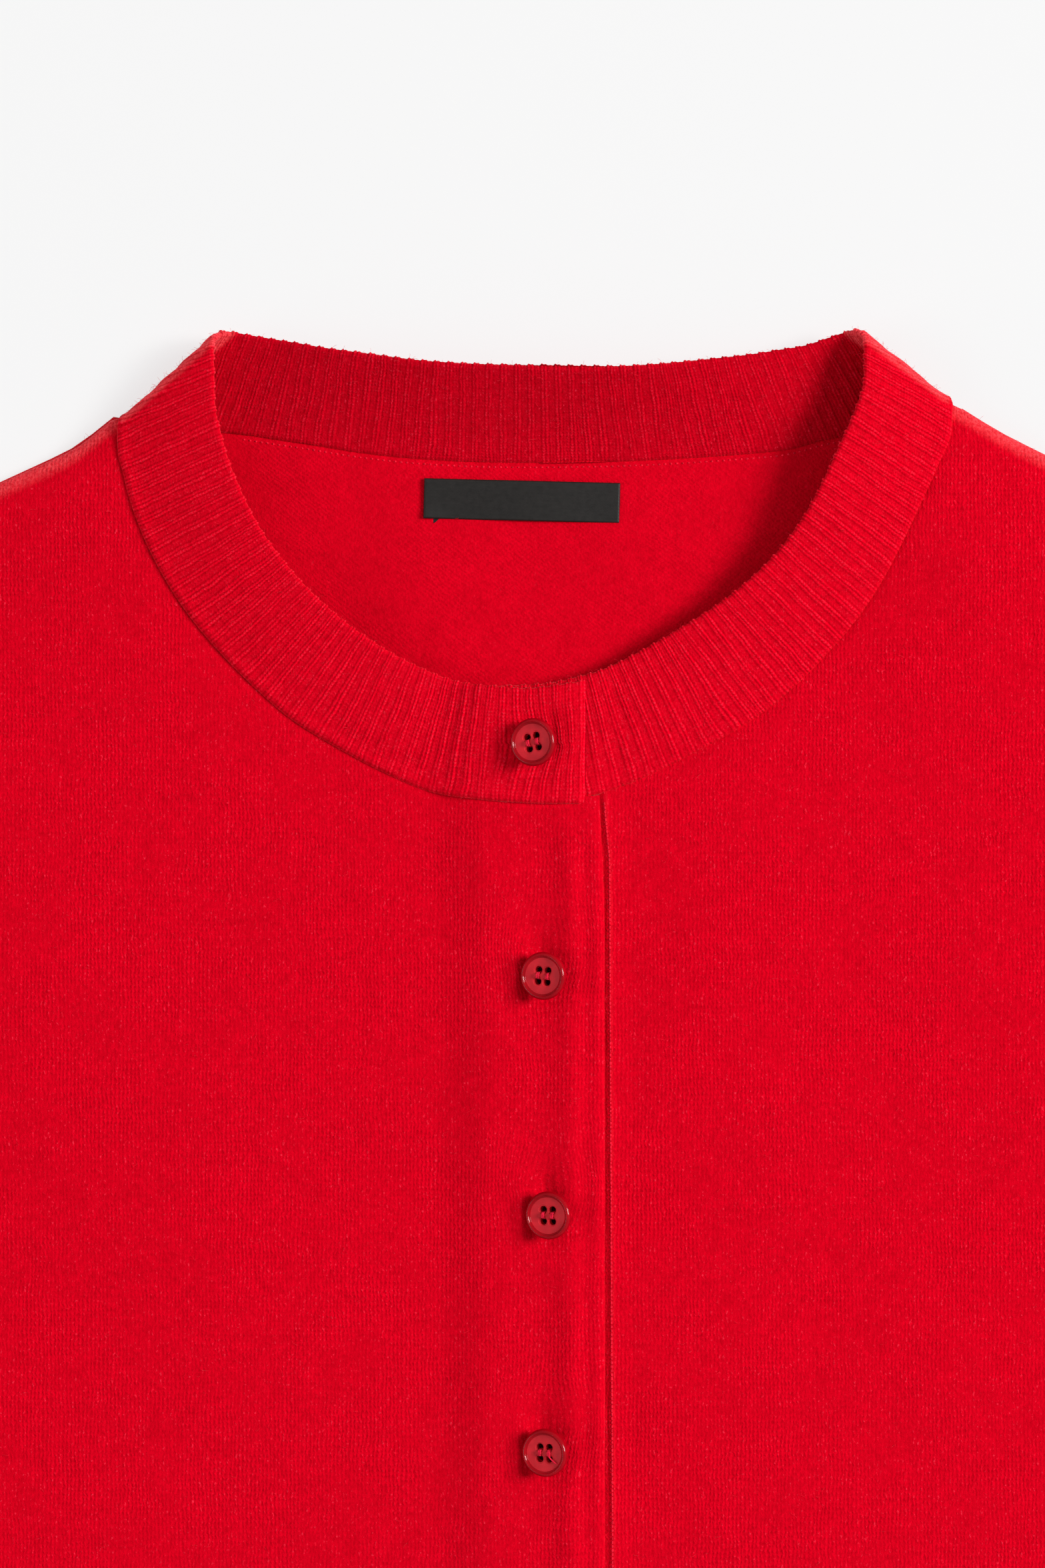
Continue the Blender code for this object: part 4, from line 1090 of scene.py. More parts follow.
# ----------------------------------------------------------------- buttons
BUTTON_PROFILE = ((4.3, 0.0), (5.1, 0.12), (5.5, 0.5), (5.68, 1.0), (5.7, 1.45), (5.62, 1.85),
                  (5.42, 2.2), (5.15, 2.42), (4.98, 2.47), (4.84, 2.40), (4.74, 2.22), (4.66, 2.12),
                  (4.52, 2.10), (4.42, 2.02), (4.34, 1.90), (4.22, 1.86))
FACE_R = 4.36           # inside this the button's face is matt
FACE_Z = 1.86


def from_bmesh(name, shape):
    """A helper object from a bmesh, which is used up."""
    mesh = bpy.data.meshes.new(name)
    shape.to_mesh(mesh)
    shape.free()
    return new_object(name, mesh)


def button_mesh():
    """A turned button with a raised rim and four drilled holes."""
    sides = 56
    turns = [(cos(2 * pi * k / sides), sin(2 * pi * k / sides)) for k in range(sides)]
    solid = bmesh.new()
    rings = [[solid.verts.new((radius * u, radius * v, height)) for u, v in turns]
             for radius, height in BUTTON_PROFILE]
    for ring, above in zip(rings[:-1], rings[1:]):
        for k in range(sides):
            after = (k + 1) % sides
            solid.faces.new((ring[k], ring[after], above[after], above[k]))
    solid.faces.new(list(reversed(rings[0])))
    solid.faces.new(rings[-1])
    drill = bmesh.new()
    for u in (-HOLE_OUT[0], HOLE_OUT[0]):
        for v in (-HOLE_OUT[1], HOLE_OUT[1]):
            for low, top, long, height in ((HOLE_R - 0.05, HOLE_R, 6.0, 1.0),
                                           (HOLE_R + 0.17, HOLE_R + 0.44, 0.5, FACE_Z + 0.10)):
                bmesh.ops.create_cone(drill, cap_ends=True, segments=18, radius1=low, radius2=top,
                                      depth=long, matrix=Matrix.Translation((u, v, height)))
    blank, tool = from_bmesh("button_blank", solid), from_bmesh("button_tool", drill)
    cut = blank.modifiers.new("holes", "BOOLEAN")
    cut.operation = "DIFFERENCE"
    cut.object = tool
    cut.use_self = True
    made = plain_mesh(blank)
    for thing in (blank, tool):
        bpy.data.objects.remove(thing)
    return made


def button_places():
    """Turn and place of each button, as its solid lies."""
    tilt = Matrix.Rotation(-radians(BUTTON_TILT), 4, "Y")
    places = []
    for number, row in enumerate(BUTTONS, 1):
        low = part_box("button_%d" % number)[0][2] / MM
        middle = Matrix.Translation((row.x, row.y, low + 4.3 * sin(radians(BUTTON_TILT))))
        places.append(middle @ tilt @ Matrix.Rotation(radians(row.turn), 4, "Z"))
    return places


def carried(points, place):
    """Points of a button, turned and moved to its place."""
    return points @ np.array(place.to_3x3()).T + np.array(place.translation)


def make_buttons():
    """Eight buttons, polished round a matt face."""
    turned = button_mesh()
    local = np.array([v.co[:] for v in turned.vertices])
    faces = [tuple(p.vertices) for p in turned.polygons]
    middles = np.array([np.mean(local[list(face)], axis=0) for face in faces])
    matt = (np.hypot(middles[:, 0], middles[:, 1]) < FACE_R) & (middles[:, 2] > 0.05)
    for number, place in enumerate(button_places(), 1):
        name = "button_%d_turned" % number
        mesh = bpy.data.meshes.new(name)
        mesh.from_pydata(placed(carried(local, place)), [], faces)
        thing = add_piece(name, mesh, "button_rim", "button_face")
        mesh.polygons.foreach_set("material_index", matt.astype(np.int32))
        mesh.set_sharp_from_angle(angle=radians(50))
        hand_over(thing, "button", "button_%d" % number)


def tube(route, radius, sides=6):
    """Points and faces of a thin round strand along a route."""
    tangent = np.gradient(route, axis=0)
    tangent /= np.linalg.norm(tangent, axis=1)[:, None]
    side = np.cross(tangent, [0.3, 0.9, 0.2])
    side /= np.linalg.norm(side, axis=1)[:, None]
    over = np.cross(tangent, side)
    turn = np.linspace(0, 2 * pi, sides, endpoint=False)[None, :, None]
    taper = np.ones((len(route), 1, 1))
    taper[[0, -1]] = 0.4
    ring = side[:, None] * np.cos(turn) + over[:, None] * np.sin(turn)
    points = (route[:, None] + ring * radius * taper).reshape(-1, 3)
    faces = []
    for i in range(0, len(points) - sides, sides):
        for j in range(sides):
            k = (j + 1) % sides
            faces.append((i + j, i + k, i + sides + k, i + sides + j))
    faces.append(tuple(range(sides))[::-1])
    faces.append(tuple(range(len(points) - sides, len(points))))
    return points, faces


def strands(name, finish, routes_of):
    """One mesh of thread on all the buttons; routes_of gives each button's strands."""
    points, faces, start = [], [], 0
    for number, place in enumerate(button_places()):
        for route, radius in routes_of(number):
            made, quad = tube(carried(route, place), radius)
            points.append(made)
            faces += [tuple(k + start for k in face) for face in quad]
            start += len(made)
    mesh = bpy.data.meshes.new(name)
    mesh.from_pydata(placed(np.concatenate(points)), [], faces)
    hand_over(add_piece(name, mesh, finish), "knit")


def make_thread():
    """Two bars of thread on every button and the shank wound under it."""
    draw = np.random.default_rng(4)

    def bars(number):
        routes = []
        for u in (-HOLE_OUT[0], HOLE_OUT[0]):
            for strand in range(3):
                off = (strand - 1.0) * 0.24 + draw.uniform(-0.05, 0.05)
                lean = draw.uniform(-0.10, 0.10)
                v = np.linspace(-1, 1, 13)
                height = FACE_Z + 0.30 * (1 - (v / 0.7) ** 4) + draw.uniform(-0.05, 0.05)
                height = np.where(np.abs(v) > 0.70, FACE_Z - 0.1 - 6 * (np.abs(v) - 0.70), height)
                across = u + off * (1 - 0.25 * np.abs(v)) + lean * v
                routes.append((np.stack([across, v * 0.92, height], axis=1), 0.15))
        if number == 3:
            share = np.linspace(0, 1, 9)
            tail = np.stack([HOLE_OUT[0] + 0.1 + 1.9 * share ** 1.5, -0.4 - 1.9 * share,
                             FACE_Z + 0.45 - 0.2 * share], axis=1)
            routes.append((tail, 0.16))
        return routes

    def shank(number):
        turn = np.linspace(0, 2 * pi, 17)
        return [(np.stack([out * np.cos(turn), out * np.sin(turn), height + 0 * turn], axis=1), 0.48)
                for out, height in ((0.5, -0.45), (1.5, -0.50), (2.3, -0.55), (1.0, -1.2), (1.6, -1.6))]

    strands("button_thread", "thread", bars)
    # The shank is near black: painted shadow under the button, seen through its holes.
    strands("button_shank", "thread_shaded", shank)


# ---------------------------------------------------------------- node trees
class Value:
    """The output of a node, which can be written in sums and products."""

    def __init__(self, nodes, socket):
        self.nodes = nodes
        self.socket = socket

    def __add__(self, other):
        return self.nodes.math("ADD", self, other)

    def __sub__(self, other):
        return self.nodes.math("SUBTRACT", self, other)

    def __mul__(self, other):
        return self.nodes.math("MULTIPLY", self, other)

    def __truediv__(self, other):
        return self.nodes.math("DIVIDE", self, other)


class Nodes:
    """Short calls for the nodes of a material or of a node group."""

    def __init__(self, tree):
        self.tree = tree

    def fill(self, node, inputs):
        """Give inputs, by name or number, their values or links."""
        for key, value in inputs.items():
            if isinstance(value, Value):
                self.tree.links.new(value.socket, node.inputs[key])
            elif value is not None:
                node.inputs[key].default_value = value

    def node(self, kind, inputs, **settings):
        made = self.tree.nodes.new(kind)
        for key, value in settings.items():
            setattr(made, key, value)
        self.fill(made, inputs)
        return made

    def get(self, kind, inputs, output=0, **settings):
        return Value(self, self.node(kind, inputs, **settings).outputs[output])

    def math(self, operation, *values, **settings):
        return self.get("ShaderNodeMath", dict(enumerate(values)), operation=operation, **settings)

    def most(self, value, *others):
        """The largest of the values."""
        for other in others:
            value = self.math("MAXIMUM", value, other)
        return value

    def wave(self, value):
        """A cosine with a period of 1."""
        return self.math("COSINE", value * (2 * pi))

    def vector(self, operation, a, b=None, scale=None):
        return self.get("ShaderNodeVectorMath", {0: a, 1: b, 3: scale}, operation=operation)

    def split(self, vector):
        made = self.node("ShaderNodeSeparateXYZ", {0: vector})
        return [Value(self, socket) for socket in made.outputs]

    def noise(self, place, scale, detail=2.0, rough=0.5, output="Fac"):
        return self.get("ShaderNodeTexNoise", {"Vector": place, "Scale": scale, "Detail": detail,
                                               "Roughness": rough}, output)

    def ramp(self, value, low, high):
        """0 up to low, 1 from high on, smooth between."""
        return self.get("ShaderNodeMapRange", {"Value": value, "From Min": low, "From Max": high},
                        "Result", interpolation_type="SMOOTHSTEP")

    def mix(self, share, a, b):
        return self.get("ShaderNodeMix", {0: share, 6: a, 7: b}, 2, data_type="RGBA")

    def relief(self, height, strength, distance):
        """The direction of a surface with that relief."""
        return self.get("ShaderNodeBump", {"Height": height, "Strength": strength,
                                           "Distance": distance}, "Normal")

    def random(self, low, high, seed):
        """A vector drawn for each point."""
        return self.get("FunctionNodeRandomValue", {"Min": low, "Max": high, "Seed": seed},
                        data_type="FLOAT_VECTOR")


def new_tree(name, kind, inputs, outputs):
    """An empty node group with its sockets: name, kind and default."""
    tree = bpy.data.node_groups.new(name, kind)
    for label, socket_kind, default in inputs:
        socket = tree.interface.new_socket(label, in_out="INPUT", socket_type="NodeSocket" + socket_kind)
        if default is not None:
            socket.default_value = default
    for label, socket_kind in outputs:
        tree.interface.new_socket(label, in_out="OUTPUT", socket_type="NodeSocket" + socket_kind)
    n = Nodes(tree)
    given = {socket.name: Value(n, socket) for socket in n.node("NodeGroupInput", {}).outputs}
    return n, given, n.node("NodeGroupOutput", {})


# ---------------------------------------------------------------- materials
def knit_group():
    """Stitches, ribs and felted fibres: height, shade (random tone with painted shade between stitches and
    in rib furrows) and pale flecks with painted highlights.
    """
    n, given, out = new_tree(
        "Knit stitches", "ShaderNodeTree",
        [("Stitches", "Vector", None), ("Position", "Vector", None), ("Reverse", "Float", 0.0),
         ("Definition", "Float", 1.0), ("Rib", "Float", 0.0)],
        [("Height", "Float"), ("Shade", "Float"), ("Fleck_and_highlight", "Float")])
    place, rib = given["Position"], given["Rib"]
    wobble, drift = [n.vector("SUBTRACT", n.noise(place, scale, detail, output="Color"), (0.5, 0.5, 0.5))
                     for scale, detail in ((850.0, 2.0), (110.0, 1.0))]
    moved = n.vector("ADD", given["Stitches"], n.vector("SCALE", wobble, scale=rib * -0.55 + 1.15))
    moved = n.vector("ADD", moved, n.vector("SCALE", drift, scale=1.2))
    u, v, _ = n.split(moved)
    off = n.math("ABSOLUTE", n.math("FRACT", u) - 0.5)
    leg = off * -0.95 + v
    wale, dome = n.wave(off), n.wave(leg)
    face = wale * 0.33 + dome * 0.15
    purl = n.wave(u * 0.65 + v) * 0.22 + n.wave(u * -0.60 + v) * 0.16
    shape = n.get("ShaderNodeMix", {0: given["Reverse"], 2: face, 3: purl}, data_type="FLOAT")
    cell = n.get("ShaderNodeCombineXYZ", {0: n.math("FLOOR", u), 1: n.math("FLOOR", leg)})
    each = n.get("ShaderNodeTexWhiteNoise", {"Vector": cell}, "Value", noise_dimensions="2D")
    strand = n.ramp(n.noise(n.vector("MULTIPLY", place, (1.0, 0.45, 1.0)), 2100.0, 1.0), 0.28, 0.72)
    fibre = n.ramp(n.noise(place, 4300.0, 2.0, 0.65), 0.28, 0.72)
    felt = n.noise(place, 230.0, 2.0, 0.55)
    broad = n.noise(place, 60.0, 2.0, 0.6)
    # Over each rib a narrow, a softer and a wide wale; ridge lightens the wales and darkens the furrows
    # between them: painted light and painted shade.
    phase = n.math("FRACT", u * 0.25)
    narrow, softer, wide = [n.ramp(n.math("ABSOLUTE", phase - at), low, high) for at, low, high in
                            ((0.13, 0.13, 0.02), (0.39, 0.15, 0.02), (0.76, 0.25, 0.03))]
    ridge = (n.most(narrow, softer * 0.75, wide * 0.55) - 0.50) * rib
    # cut, the shape of the stitches, gives the relief and also darkens the shade between the stitches:
    # painted shade. The noises in rough, felt and broad are random tone of the yarn.
    cut = shape * (given["Definition"] * (n.ramp(broad, 0.32, 0.66) * 0.75 + 0.30))
    rough = each * 0.26 - 0.53 + (strand * 0.42 + fibre * 0.38)
    shade = rough * 0.58 + (cut * 0.50 + 0.60) + (felt - 0.5) * 0.34 + (broad - 0.5) * 0.16
    speck = n.noise(n.vector("MULTIPLY", place, (1.0, 0.60, 1.0)), 2500.0, 1.0)
    lint = n.ramp(speck, 0.58, 0.74) * n.ramp(wale, -0.6, 0.6) * n.ramp(each, 0.10, 0.90)
    # The beads are painted highlights on the tops of the rib wales and stitch legs; they go out together
    # with the real pale flecks.
    highlight_beads = n.ramp(dome, -0.4, 0.9) * n.ramp(each, 0.05, 0.75)
    highlight_beads = n.most(narrow, softer * 0.35, wide * 0.22) * rib * highlight_beads * (fibre * 0.7 + 0.3)
    n.fill(out, {"Height": rough * 0.50 + cut + 0.6,
                 "Shade": n.math("ADD", shade, ridge * 0.60, use_clamp=True),
                 "Fleck_and_highlight": n.most(lint, highlight_beads)})


def new_material(name):
    """The nodes of a new material, its surface and the places on the piece."""
    made = bpy.data.materials.new(name)
    made.use_nodes = True
    n = Nodes(made.node_tree)
    return n, made.node_tree.nodes["Principled BSDF"], n.get("ShaderNodeTexCoord", {}, "Object")


def tint(base, factor=1.0):
    """A colour with four parts, made darker or lighter."""
    return [min(1.0, c * factor) for c in base] + [1.0]


def knit_material(name, reverse=0.0, definition=1.0, painted_brightness=1.0, rib=0.0):
    """Red yarn, knitted: stitches as height and painted shade, pale flecks with painted highlights, a fuzzy
    sheen, and a pale haze of fibres and painted sheen along folds.
    """
    n, surface, place = new_material(name)
    knit = n.node("ShaderNodeGroup", {
        "Stitches": n.get("ShaderNodeUVMap", {}, uv_map="stitches"), "Position": place,
        "Reverse": reverse, "Definition": definition, "Rib": rib,
    }, node_tree=bpy.data.node_groups["Knit stitches"])
    height, shade, fleck_and_highlight = [Value(n, socket) for socket in knit.outputs]
    # The depth colour comes in where the shade is low: random tone, and painted shade between the stitches
    # and in the rib furrows.
    body = n.mix(shade, tint(colours().depth, painted_brightness), tint(colours().yarn, painted_brightness))
    # Pale flecks, together with painted highlights on the rib wales.
    body = n.mix(fleck_and_highlight * (0.42 if reverse < 0.5 else 0.10), body, tint(colours().fleck_and_highlight))
    # Where the nap is marked, along folds, seams and edges, the colour goes paler towards the fuzz colour:
    # real loose fibres and painted sheen.
    nap = n.ramp(n.get("ShaderNodeAttribute", {}, "Fac", attribute_name="nap"), 0.45, 1.05)
    tuft = n.ramp(n.noise(place, 1500.0, 3.0, 0.65), 0.32, 0.68)
    fuzz_and_painted_sheen = nap * (tuft * 0.60 + 0.25) * (shade * 0.95 + 0.30)
    n.fill(surface, {"Base Color": n.mix(fuzz_and_painted_sheen, body, tint(colours().fuzz)),
                     "Normal": n.relief(height, 0.55, sizes().stitch_depth),
                     "Roughness": 1.0, "Specular IOR Level": 0.0, "Sheen Weight": 0.75,
                     "Sheen Roughness": 0.28, "Sheen Tint": (1.0, 0.26, 0.28, 1.0)})


def thread_material(name, base, sheen=0.1, shine=0.05):
    """Twisted yarn, a little uneven."""
    n, surface, place = new_material(name)
    twist = n.noise(n.vector("MULTIPLY", place, (1.0, 0.5, 1.0)), 2400.0, 2.0)
    n.fill(surface, {"Base Color": n.mix(n.ramp(twist, 0.3, 0.65), tint(base, 0.55), tint(base)),
                     "Normal": n.relief(twist, 1.0, 0.1 * MM),
                     "Roughness": 0.8, "Specular IOR Level": shine, "Sheen Weight": sheen,
                     "Sheen Tint": (1.0, 0.3, 0.35, 1.0)})


def button_material(name, base, rough, speckle, shine):
    """Cast plastic with faint clouds and fine scratches from turning."""
    n, surface, place = new_material(name)
    cloud = n.ramp(n.noise(place, 300.0, 3.0), 0.3, 0.7)
    grit = n.noise(place, 5200.0, 2.0, 0.7)
    n.fill(surface, {"Base Color": n.mix(cloud, tint(base, 0.86), tint(base, 1.12)),
                     "Normal": n.relief(grit, 0.15, 0.02 * MM * (0.2 + 4 * speckle)),
                     "Roughness": grit * speckle + rough, "Specular IOR Level": shine, "IOR": 1.5})


def label_material(name):
    """Black satin tape: long floats across and a faint rib of picks."""
    n, surface, place = new_material(name)
    u, v, _ = n.split(n.get("ShaderNodeUVMap", {}, uv_map="stitches"))
    weave = n.wave(v) * 0.30 + (n.wave(u + v * 0.4) * 0.18 + 0.5)
    worn = n.noise(place, 900.0, 2.0)
    shade = n.math("ADD", weave, worn - 0.5, use_clamp=True)
    n.fill(surface, {"Base Color": n.mix(shade, tint(colours().label, 0.7), tint(colours().label, 1.7)),
                     "Normal": n.relief(weave, 0.5, 0.05 * MM),
                     "Roughness": worn * 0.25 + 0.42, "Specular IOR Level": 0.35})


def floor_material(name):
    """A smooth white table top, a little lit from below."""
    n, surface, place = new_material(name)
    cloud = n.noise(place, 3.0, 2.0)
    n.fill(surface, {"Base Color": n.mix(cloud, tint(colours().floor, 0.985), tint(colours().floor)),
                     "Roughness": 0.9, "Specular IOR Level": 0.0,
                     "Emission Color": (1.0, 1.0, 1.0, 1.0), "Emission Strength": 0.71})


def material(name):
    """The material of that name, made when it is first asked for."""
    if "Knit stitches" not in bpy.data.node_groups:
        knit_group()
    if name not in bpy.data.materials:
        maker, *values = {
            "knit_outside": (knit_material,),
            "knit_inside": (knit_material, 1.0, 0.7),
            # The third number scales the yarn's colours: knit_ribbed is lighter, painted light on the
            # ribbed pieces, and knit_ribbed_inside darker, painted shade on the band's inner face.
            "knit_ribbed": (knit_material, 0.0, 0.9, 1.07, 1.0),
            "knit_ribbed_inside": (knit_material, 0.0, 0.9, 0.86, 0.6),
            "thread": (thread_material, (0.95, 0.016, 0.060)),
            # thread_shaded is near black: painted shadow on the shank thread seen down the buttons' holes.
            "thread_shaded": (thread_material, (0.045, 0.0006, 0.002), 0.0),
            "stitching": (thread_material, (1.0, 0.016, 0.045), 0.1, 0.0),
            "hair": (thread_material, (0.92, 0.012, 0.035), 0.4),
            "button_rim": (button_material, colours().button, 0.10, 0.04, 0.20),
            "button_face": (button_material, colours().button_face, 0.50, 0.12, 0.14),
            "label_satin": (label_material,),
            "table_top": (floor_material,),
        }[name]
        maker(name, *values)
    return bpy.data.materials[name]


# ------------------------------------------------------------ stitches and fuzz
def geometry_tree(name, inputs):
    """An empty geometry tree with a geometry in and out and a material."""
    sockets = [("Geometry", "Geometry", None), *inputs, ("Material", "Material", None)]
    return new_tree(name, "GeometryNodeTree", sockets, [("Geometry", "Geometry")])


def set_out(n, given, out, inputs):
    """Set instances on points, keep them above the table and give them their material."""
    real = n.get("GeometryNodeRealizeInstances", {0: n.get("GeometryNodeInstanceOnPoints", inputs)})
    spot = n.vector("MAXIMUM", n.get("GeometryNodeInputPosition", {}), (-10.0, -10.0, 0.02 * MM))
    laid = n.get("GeometryNodeSetPosition", {"Geometry": real, "Position": spot})
    n.fill(out, {"Geometry": n.get("GeometryNodeSetMaterial", {"Geometry": laid,
                                                               "Material": given["Material"]})})


def beads_tree():
    """Stitches set along a path, one bead for each."""
    n, given, out = geometry_tree("Stitch line", [("Spacing", "Float", 1.0 * MM), ("Size", "Vector", None)])
    curve = n.get("GeometryNodeMeshToCurve", {"Mesh": given["Geometry"]})
    tangent = n.get("GeometryNodeInputTangent", {})
    wobble = n.random((0.8, 0.8, 0.85), (1.12, 1.2, 1.15), 7)
    set_out(n, given, out, {
        "Points": n.get("GeometryNodeResampleCurve", {"Curve": curve, "Length": given["Spacing"]},
                        mode="LENGTH"),
        "Instance": n.get("GeometryNodeMeshUVSphere", {"Segments": 6, "Rings": 4, "Radius": 0.5}, "Mesh"),
        "Rotation": n.get("FunctionNodeAlignRotationToVector", {"Vector": tangent}, axis="X"),
        "Scale": n.vector("MULTIPLY", given["Size"], wobble)})
    return n.tree


def fuzz_tree():
    """Loose fibres standing on a surface, most where the nap attribute is highest."""
    n, given, out = geometry_tree("Nap", [
        ("Density", "Float", 1.0), ("Length", "Float", 1.0 * MM), ("Thickness", "Float", 0.03 * MM),
        ("Seed", "Int", 1)])
    nap = n.get("GeometryNodeInputNamedAttribute", {"Name": "nap"}, data_type="FLOAT")
    upward = n.split(n.get("GeometryNodeInputNormal", {}))[2]
    spread = n.node("GeometryNodeDistributePointsOnFaces", {
        "Mesh": given["Geometry"], "Density": given["Density"] * (nap * n.ramp(upward, -0.4, 0.0)),
        "Seed": given["Seed"]}, distribute_method="RANDOM")
    points, turn = [Value(n, spread.outputs[key]) for key in ("Points", "Rotation")]
    line = n.get("GeometryNodeCurveQuadraticBezier", {
        "Resolution": 2, "Start": (0.0, 0.0, -0.1), "Middle": (0.05, 0.0, 0.6),
        "End": (0.75, 0.0, 0.75)})
    ring = n.get("GeometryNodeCurvePrimitiveCircle",
                 {"Resolution": 3, "Radius": given["Thickness"] / given["Length"]})
    lean = n.get("FunctionNodeEulerToRotation", {0: n.random((-0.7, -0.7, -pi), (0.7, 0.7, pi), 3)})
    long = n.get("FunctionNodeRandomValue", {2: 0.45, 3: 1.5, "Seed": 5}, 1, data_type="FLOAT")
    set_out(n, given, out, {
        "Points": points,
        "Instance": n.get("GeometryNodeCurveToMesh", {"Curve": line, "Profile Curve": ring}),
        "Rotation": n.get("FunctionNodeRotateRotation", {0: turn, 1: lean}, rotation_space="LOCAL"),
        "Scale": long * given["Length"]})
    return n.tree


def grow(name, source, tree, values, finish):
    """Run a geometry tree on a mesh and keep the result as a plain mesh."""
    carrier = new_object(name + "_carrier", source)
    change = carrier.modifiers.new("grow", "NODES")
    change.node_group = tree
    sockets = {i.name: i.identifier for i in tree.interface.items_tree if i.in_out == "INPUT"}
    for label, value in {**values, "Material": material(finish)}.items():
        change[sockets[label]] = value
    made = plain_mesh(carrier)
    carrier.modifiers.remove(change)
    bpy.data.objects.remove(carrier)
    if not len(made.polygons):
        raise RuntimeError("nothing grew on " + name)
    hand_over(add_piece(name, made), "knit")


def path_mesh(name, lines):
    """A mesh of open edge paths through points of the garment."""
    points, edges = [], []
    for line in lines:
        first = len(points)
        points += placed(line).tolist()
        edges += [(k, k + 1) for k in range(first, len(points) - 1)]
    mesh = bpy.data.meshes.new(name)
    mesh.from_pydata(points, edges, [])
    return mesh


def on_surface(name, xy, lift=0.05, start=30.0):
    """Points just over a piece, where a look straight down first meets it."""
    heights = []
    for x, y in xy:
        hit, place, _, _ = bpy.data.objects[name].ray_cast(Vector(placed([x, y, start])),
                                                           Vector((0, 0, -1)))
        heights.append(place[2] / MM if hit else np.nan)
    heights = np.array(heights)
    good = np.flatnonzero(~np.isnan(heights))
    return np.column_stack([xy, np.interp(np.arange(len(heights)), good, heights[good]) + lift])


def make_stitching():
    """The chain beside the opening, and the linking at neck, hem, cuffs and armholes."""
    tree = beads_tree()
    y = np.linspace(-89.8, HEM_TOP_Y + 1, 150)
    shares = np.linspace(0, 1, 90)
    chain = [("front_left", np.column_stack([groove_x(y) + CHAIN_OUT, y]))]
    hems = [(piece, straight((low, HEM_TOP_Y + 0.7), (high, HEM_TOP_Y + 0.7), shares))
            for piece, low, high in (("front_right", -222.0, 15.0), ("front_left", 17.5, 222.0))]
    seam = [("back", along([(s.seam_x, s.seam_y - 1.1) for s in BAND_BACK], shares))]
    holes = [("sleeve_" + word, armhole(np.linspace(0.02, 0.985, 90), side, out=0.7))
             for word, side in SIDES]
    wrist = straight(WRIST_UPPER, WRIST_LOWER, np.linspace(0.04, 0.96, 40)) + (-0.4, 0.6)
    cuffs = [("sleeve_" + word, wrist * (side, 1)) for word, side in SIDES]
    for name, kind, lines in (("opening_chain", CHAIN, chain), ("hem_linking", SEAMING, hems),
                              ("neck_linking", LINKING, seam), ("armhole_linking", SEAMING, holes),
                              ("cuff_linking", SEAMING, cuffs)):
        path = path_mesh(name, [on_surface(piece + "_knit", line) for piece, line in lines])
        size = (kind.long * MM, kind.wide * MM, kind.tall * MM)
        grow(name, path, tree, {"Spacing": kind.apart * MM, "Size": size}, "stitching")


def make_fuzz():
    """Loose fibres on the knit, thickest along folds and edges."""
    tree = fuzz_tree()
    kinds = (("neckband_rib", 0.60e6, 0.8), ("front_right_knit", 0.10e6, 1.0),
             ("front_left_knit", 0.10e6, 1.0), ("back_knit", 0.03e6, 0.9),
             ("sleeve_right_knit", 0.05e6, 1.0), ("sleeve_left_knit", 0.05e6, 1.0))
    for seed, (piece, density, long) in enumerate(kinds, 1):
        grow(piece.rsplit("_", 1)[0] + "_nap", bpy.data.objects[piece].data, tree,
             {"Density": density, "Length": sizes().hair * long, "Thickness": 0.018 * MM,
              "Seed": seed}, "hair")


# ------------------------------------------------------------------- stage
FRAMING = (1568, 2352)  # size of the picture that the camera makes, in pixels
PIXELS_PER_MM = 6.3
CENTRE_PIXEL = (812.0, 640.0)           # where x = 0, y = 0 of the garment falls
LENS = 85.0
SENSOR = 36.0


def new_light(name, kind, energy, **settings):
    """A lamp in the scene."""
    lamp = bpy.data.lights.new(name, kind)
    lamp.energy = energy
    for key, value in settings.items():
        setattr(lamp, key, value)
    return new_object(name, lamp)


def make_stage():
    """Table top, camera straight above the neck, soft light from the right."""
    scene = bpy.context.scene
    half = 12.0
    mesh = bpy.data.meshes.new("table_top")
    mesh.from_pydata([(x * half, y * half, -0.0002) for x, y in ((-1, -1), (1, -1), (1, 1), (-1, 1))],
                     [], [(0, 1, 2, 3)])
    table_top = add_piece("table_top", mesh, "table_top")
    at = placed([(FRAMING[0] / 2 - CENTRE_PIXEL[0]) / PIXELS_PER_MM,
                 (CENTRE_PIXEL[1] - FRAMING[1] / 2) / PIXELS_PER_MM, 4.0])
    away = FRAMING[1] / PIXELS_PER_MM * MM * LENS / SENSOR
    data = bpy.data.cameras.new("camera")
    data.lens = LENS
    data.sensor_width = SENSOR
    data.clip_start = 0.01
    data.clip_end = 50.0
    scene.camera = new_object("camera", data)
    scene.camera.location = (at[0], at[1], at[2] + away)
    for name, azimuth, height, strength, angle, shade in (
            ("sun_right", 15.0, 34.0, 2.22, 24.0, (1.0, 0.995, 0.99)),
            ("sun_left", 190.0, 22.0, 1.02, 40.0, (0.99, 0.995, 1.0))):
        sun = new_light(name, "SUN", strength, angle=radians(angle), color=shade)
        sun.rotation_euler = (0.0, radians(90 - height), radians(azimuth))
    panel = new_light("panel_right", "AREA", 19.0, shape="SQUARE", size=0.55)
    panel.location = (1.60, 0.40, 1.12)
    facing = Vector(panel.location) - Vector((0.0, 0.1, 0.0))
    panel.rotation_euler = facing.to_track_quat("Z", "Y").to_euler()
    scene.world = bpy.data.worlds.new("studio")
    scene.world.use_nodes = True
    sky = scene.world.node_tree.nodes["Background"].inputs
    sky["Color"].default_value = (1.0, 1.0, 1.0, 1.0)
    sky["Strength"].default_value = 0.33
    scene.view_settings.view_transform = "Standard"


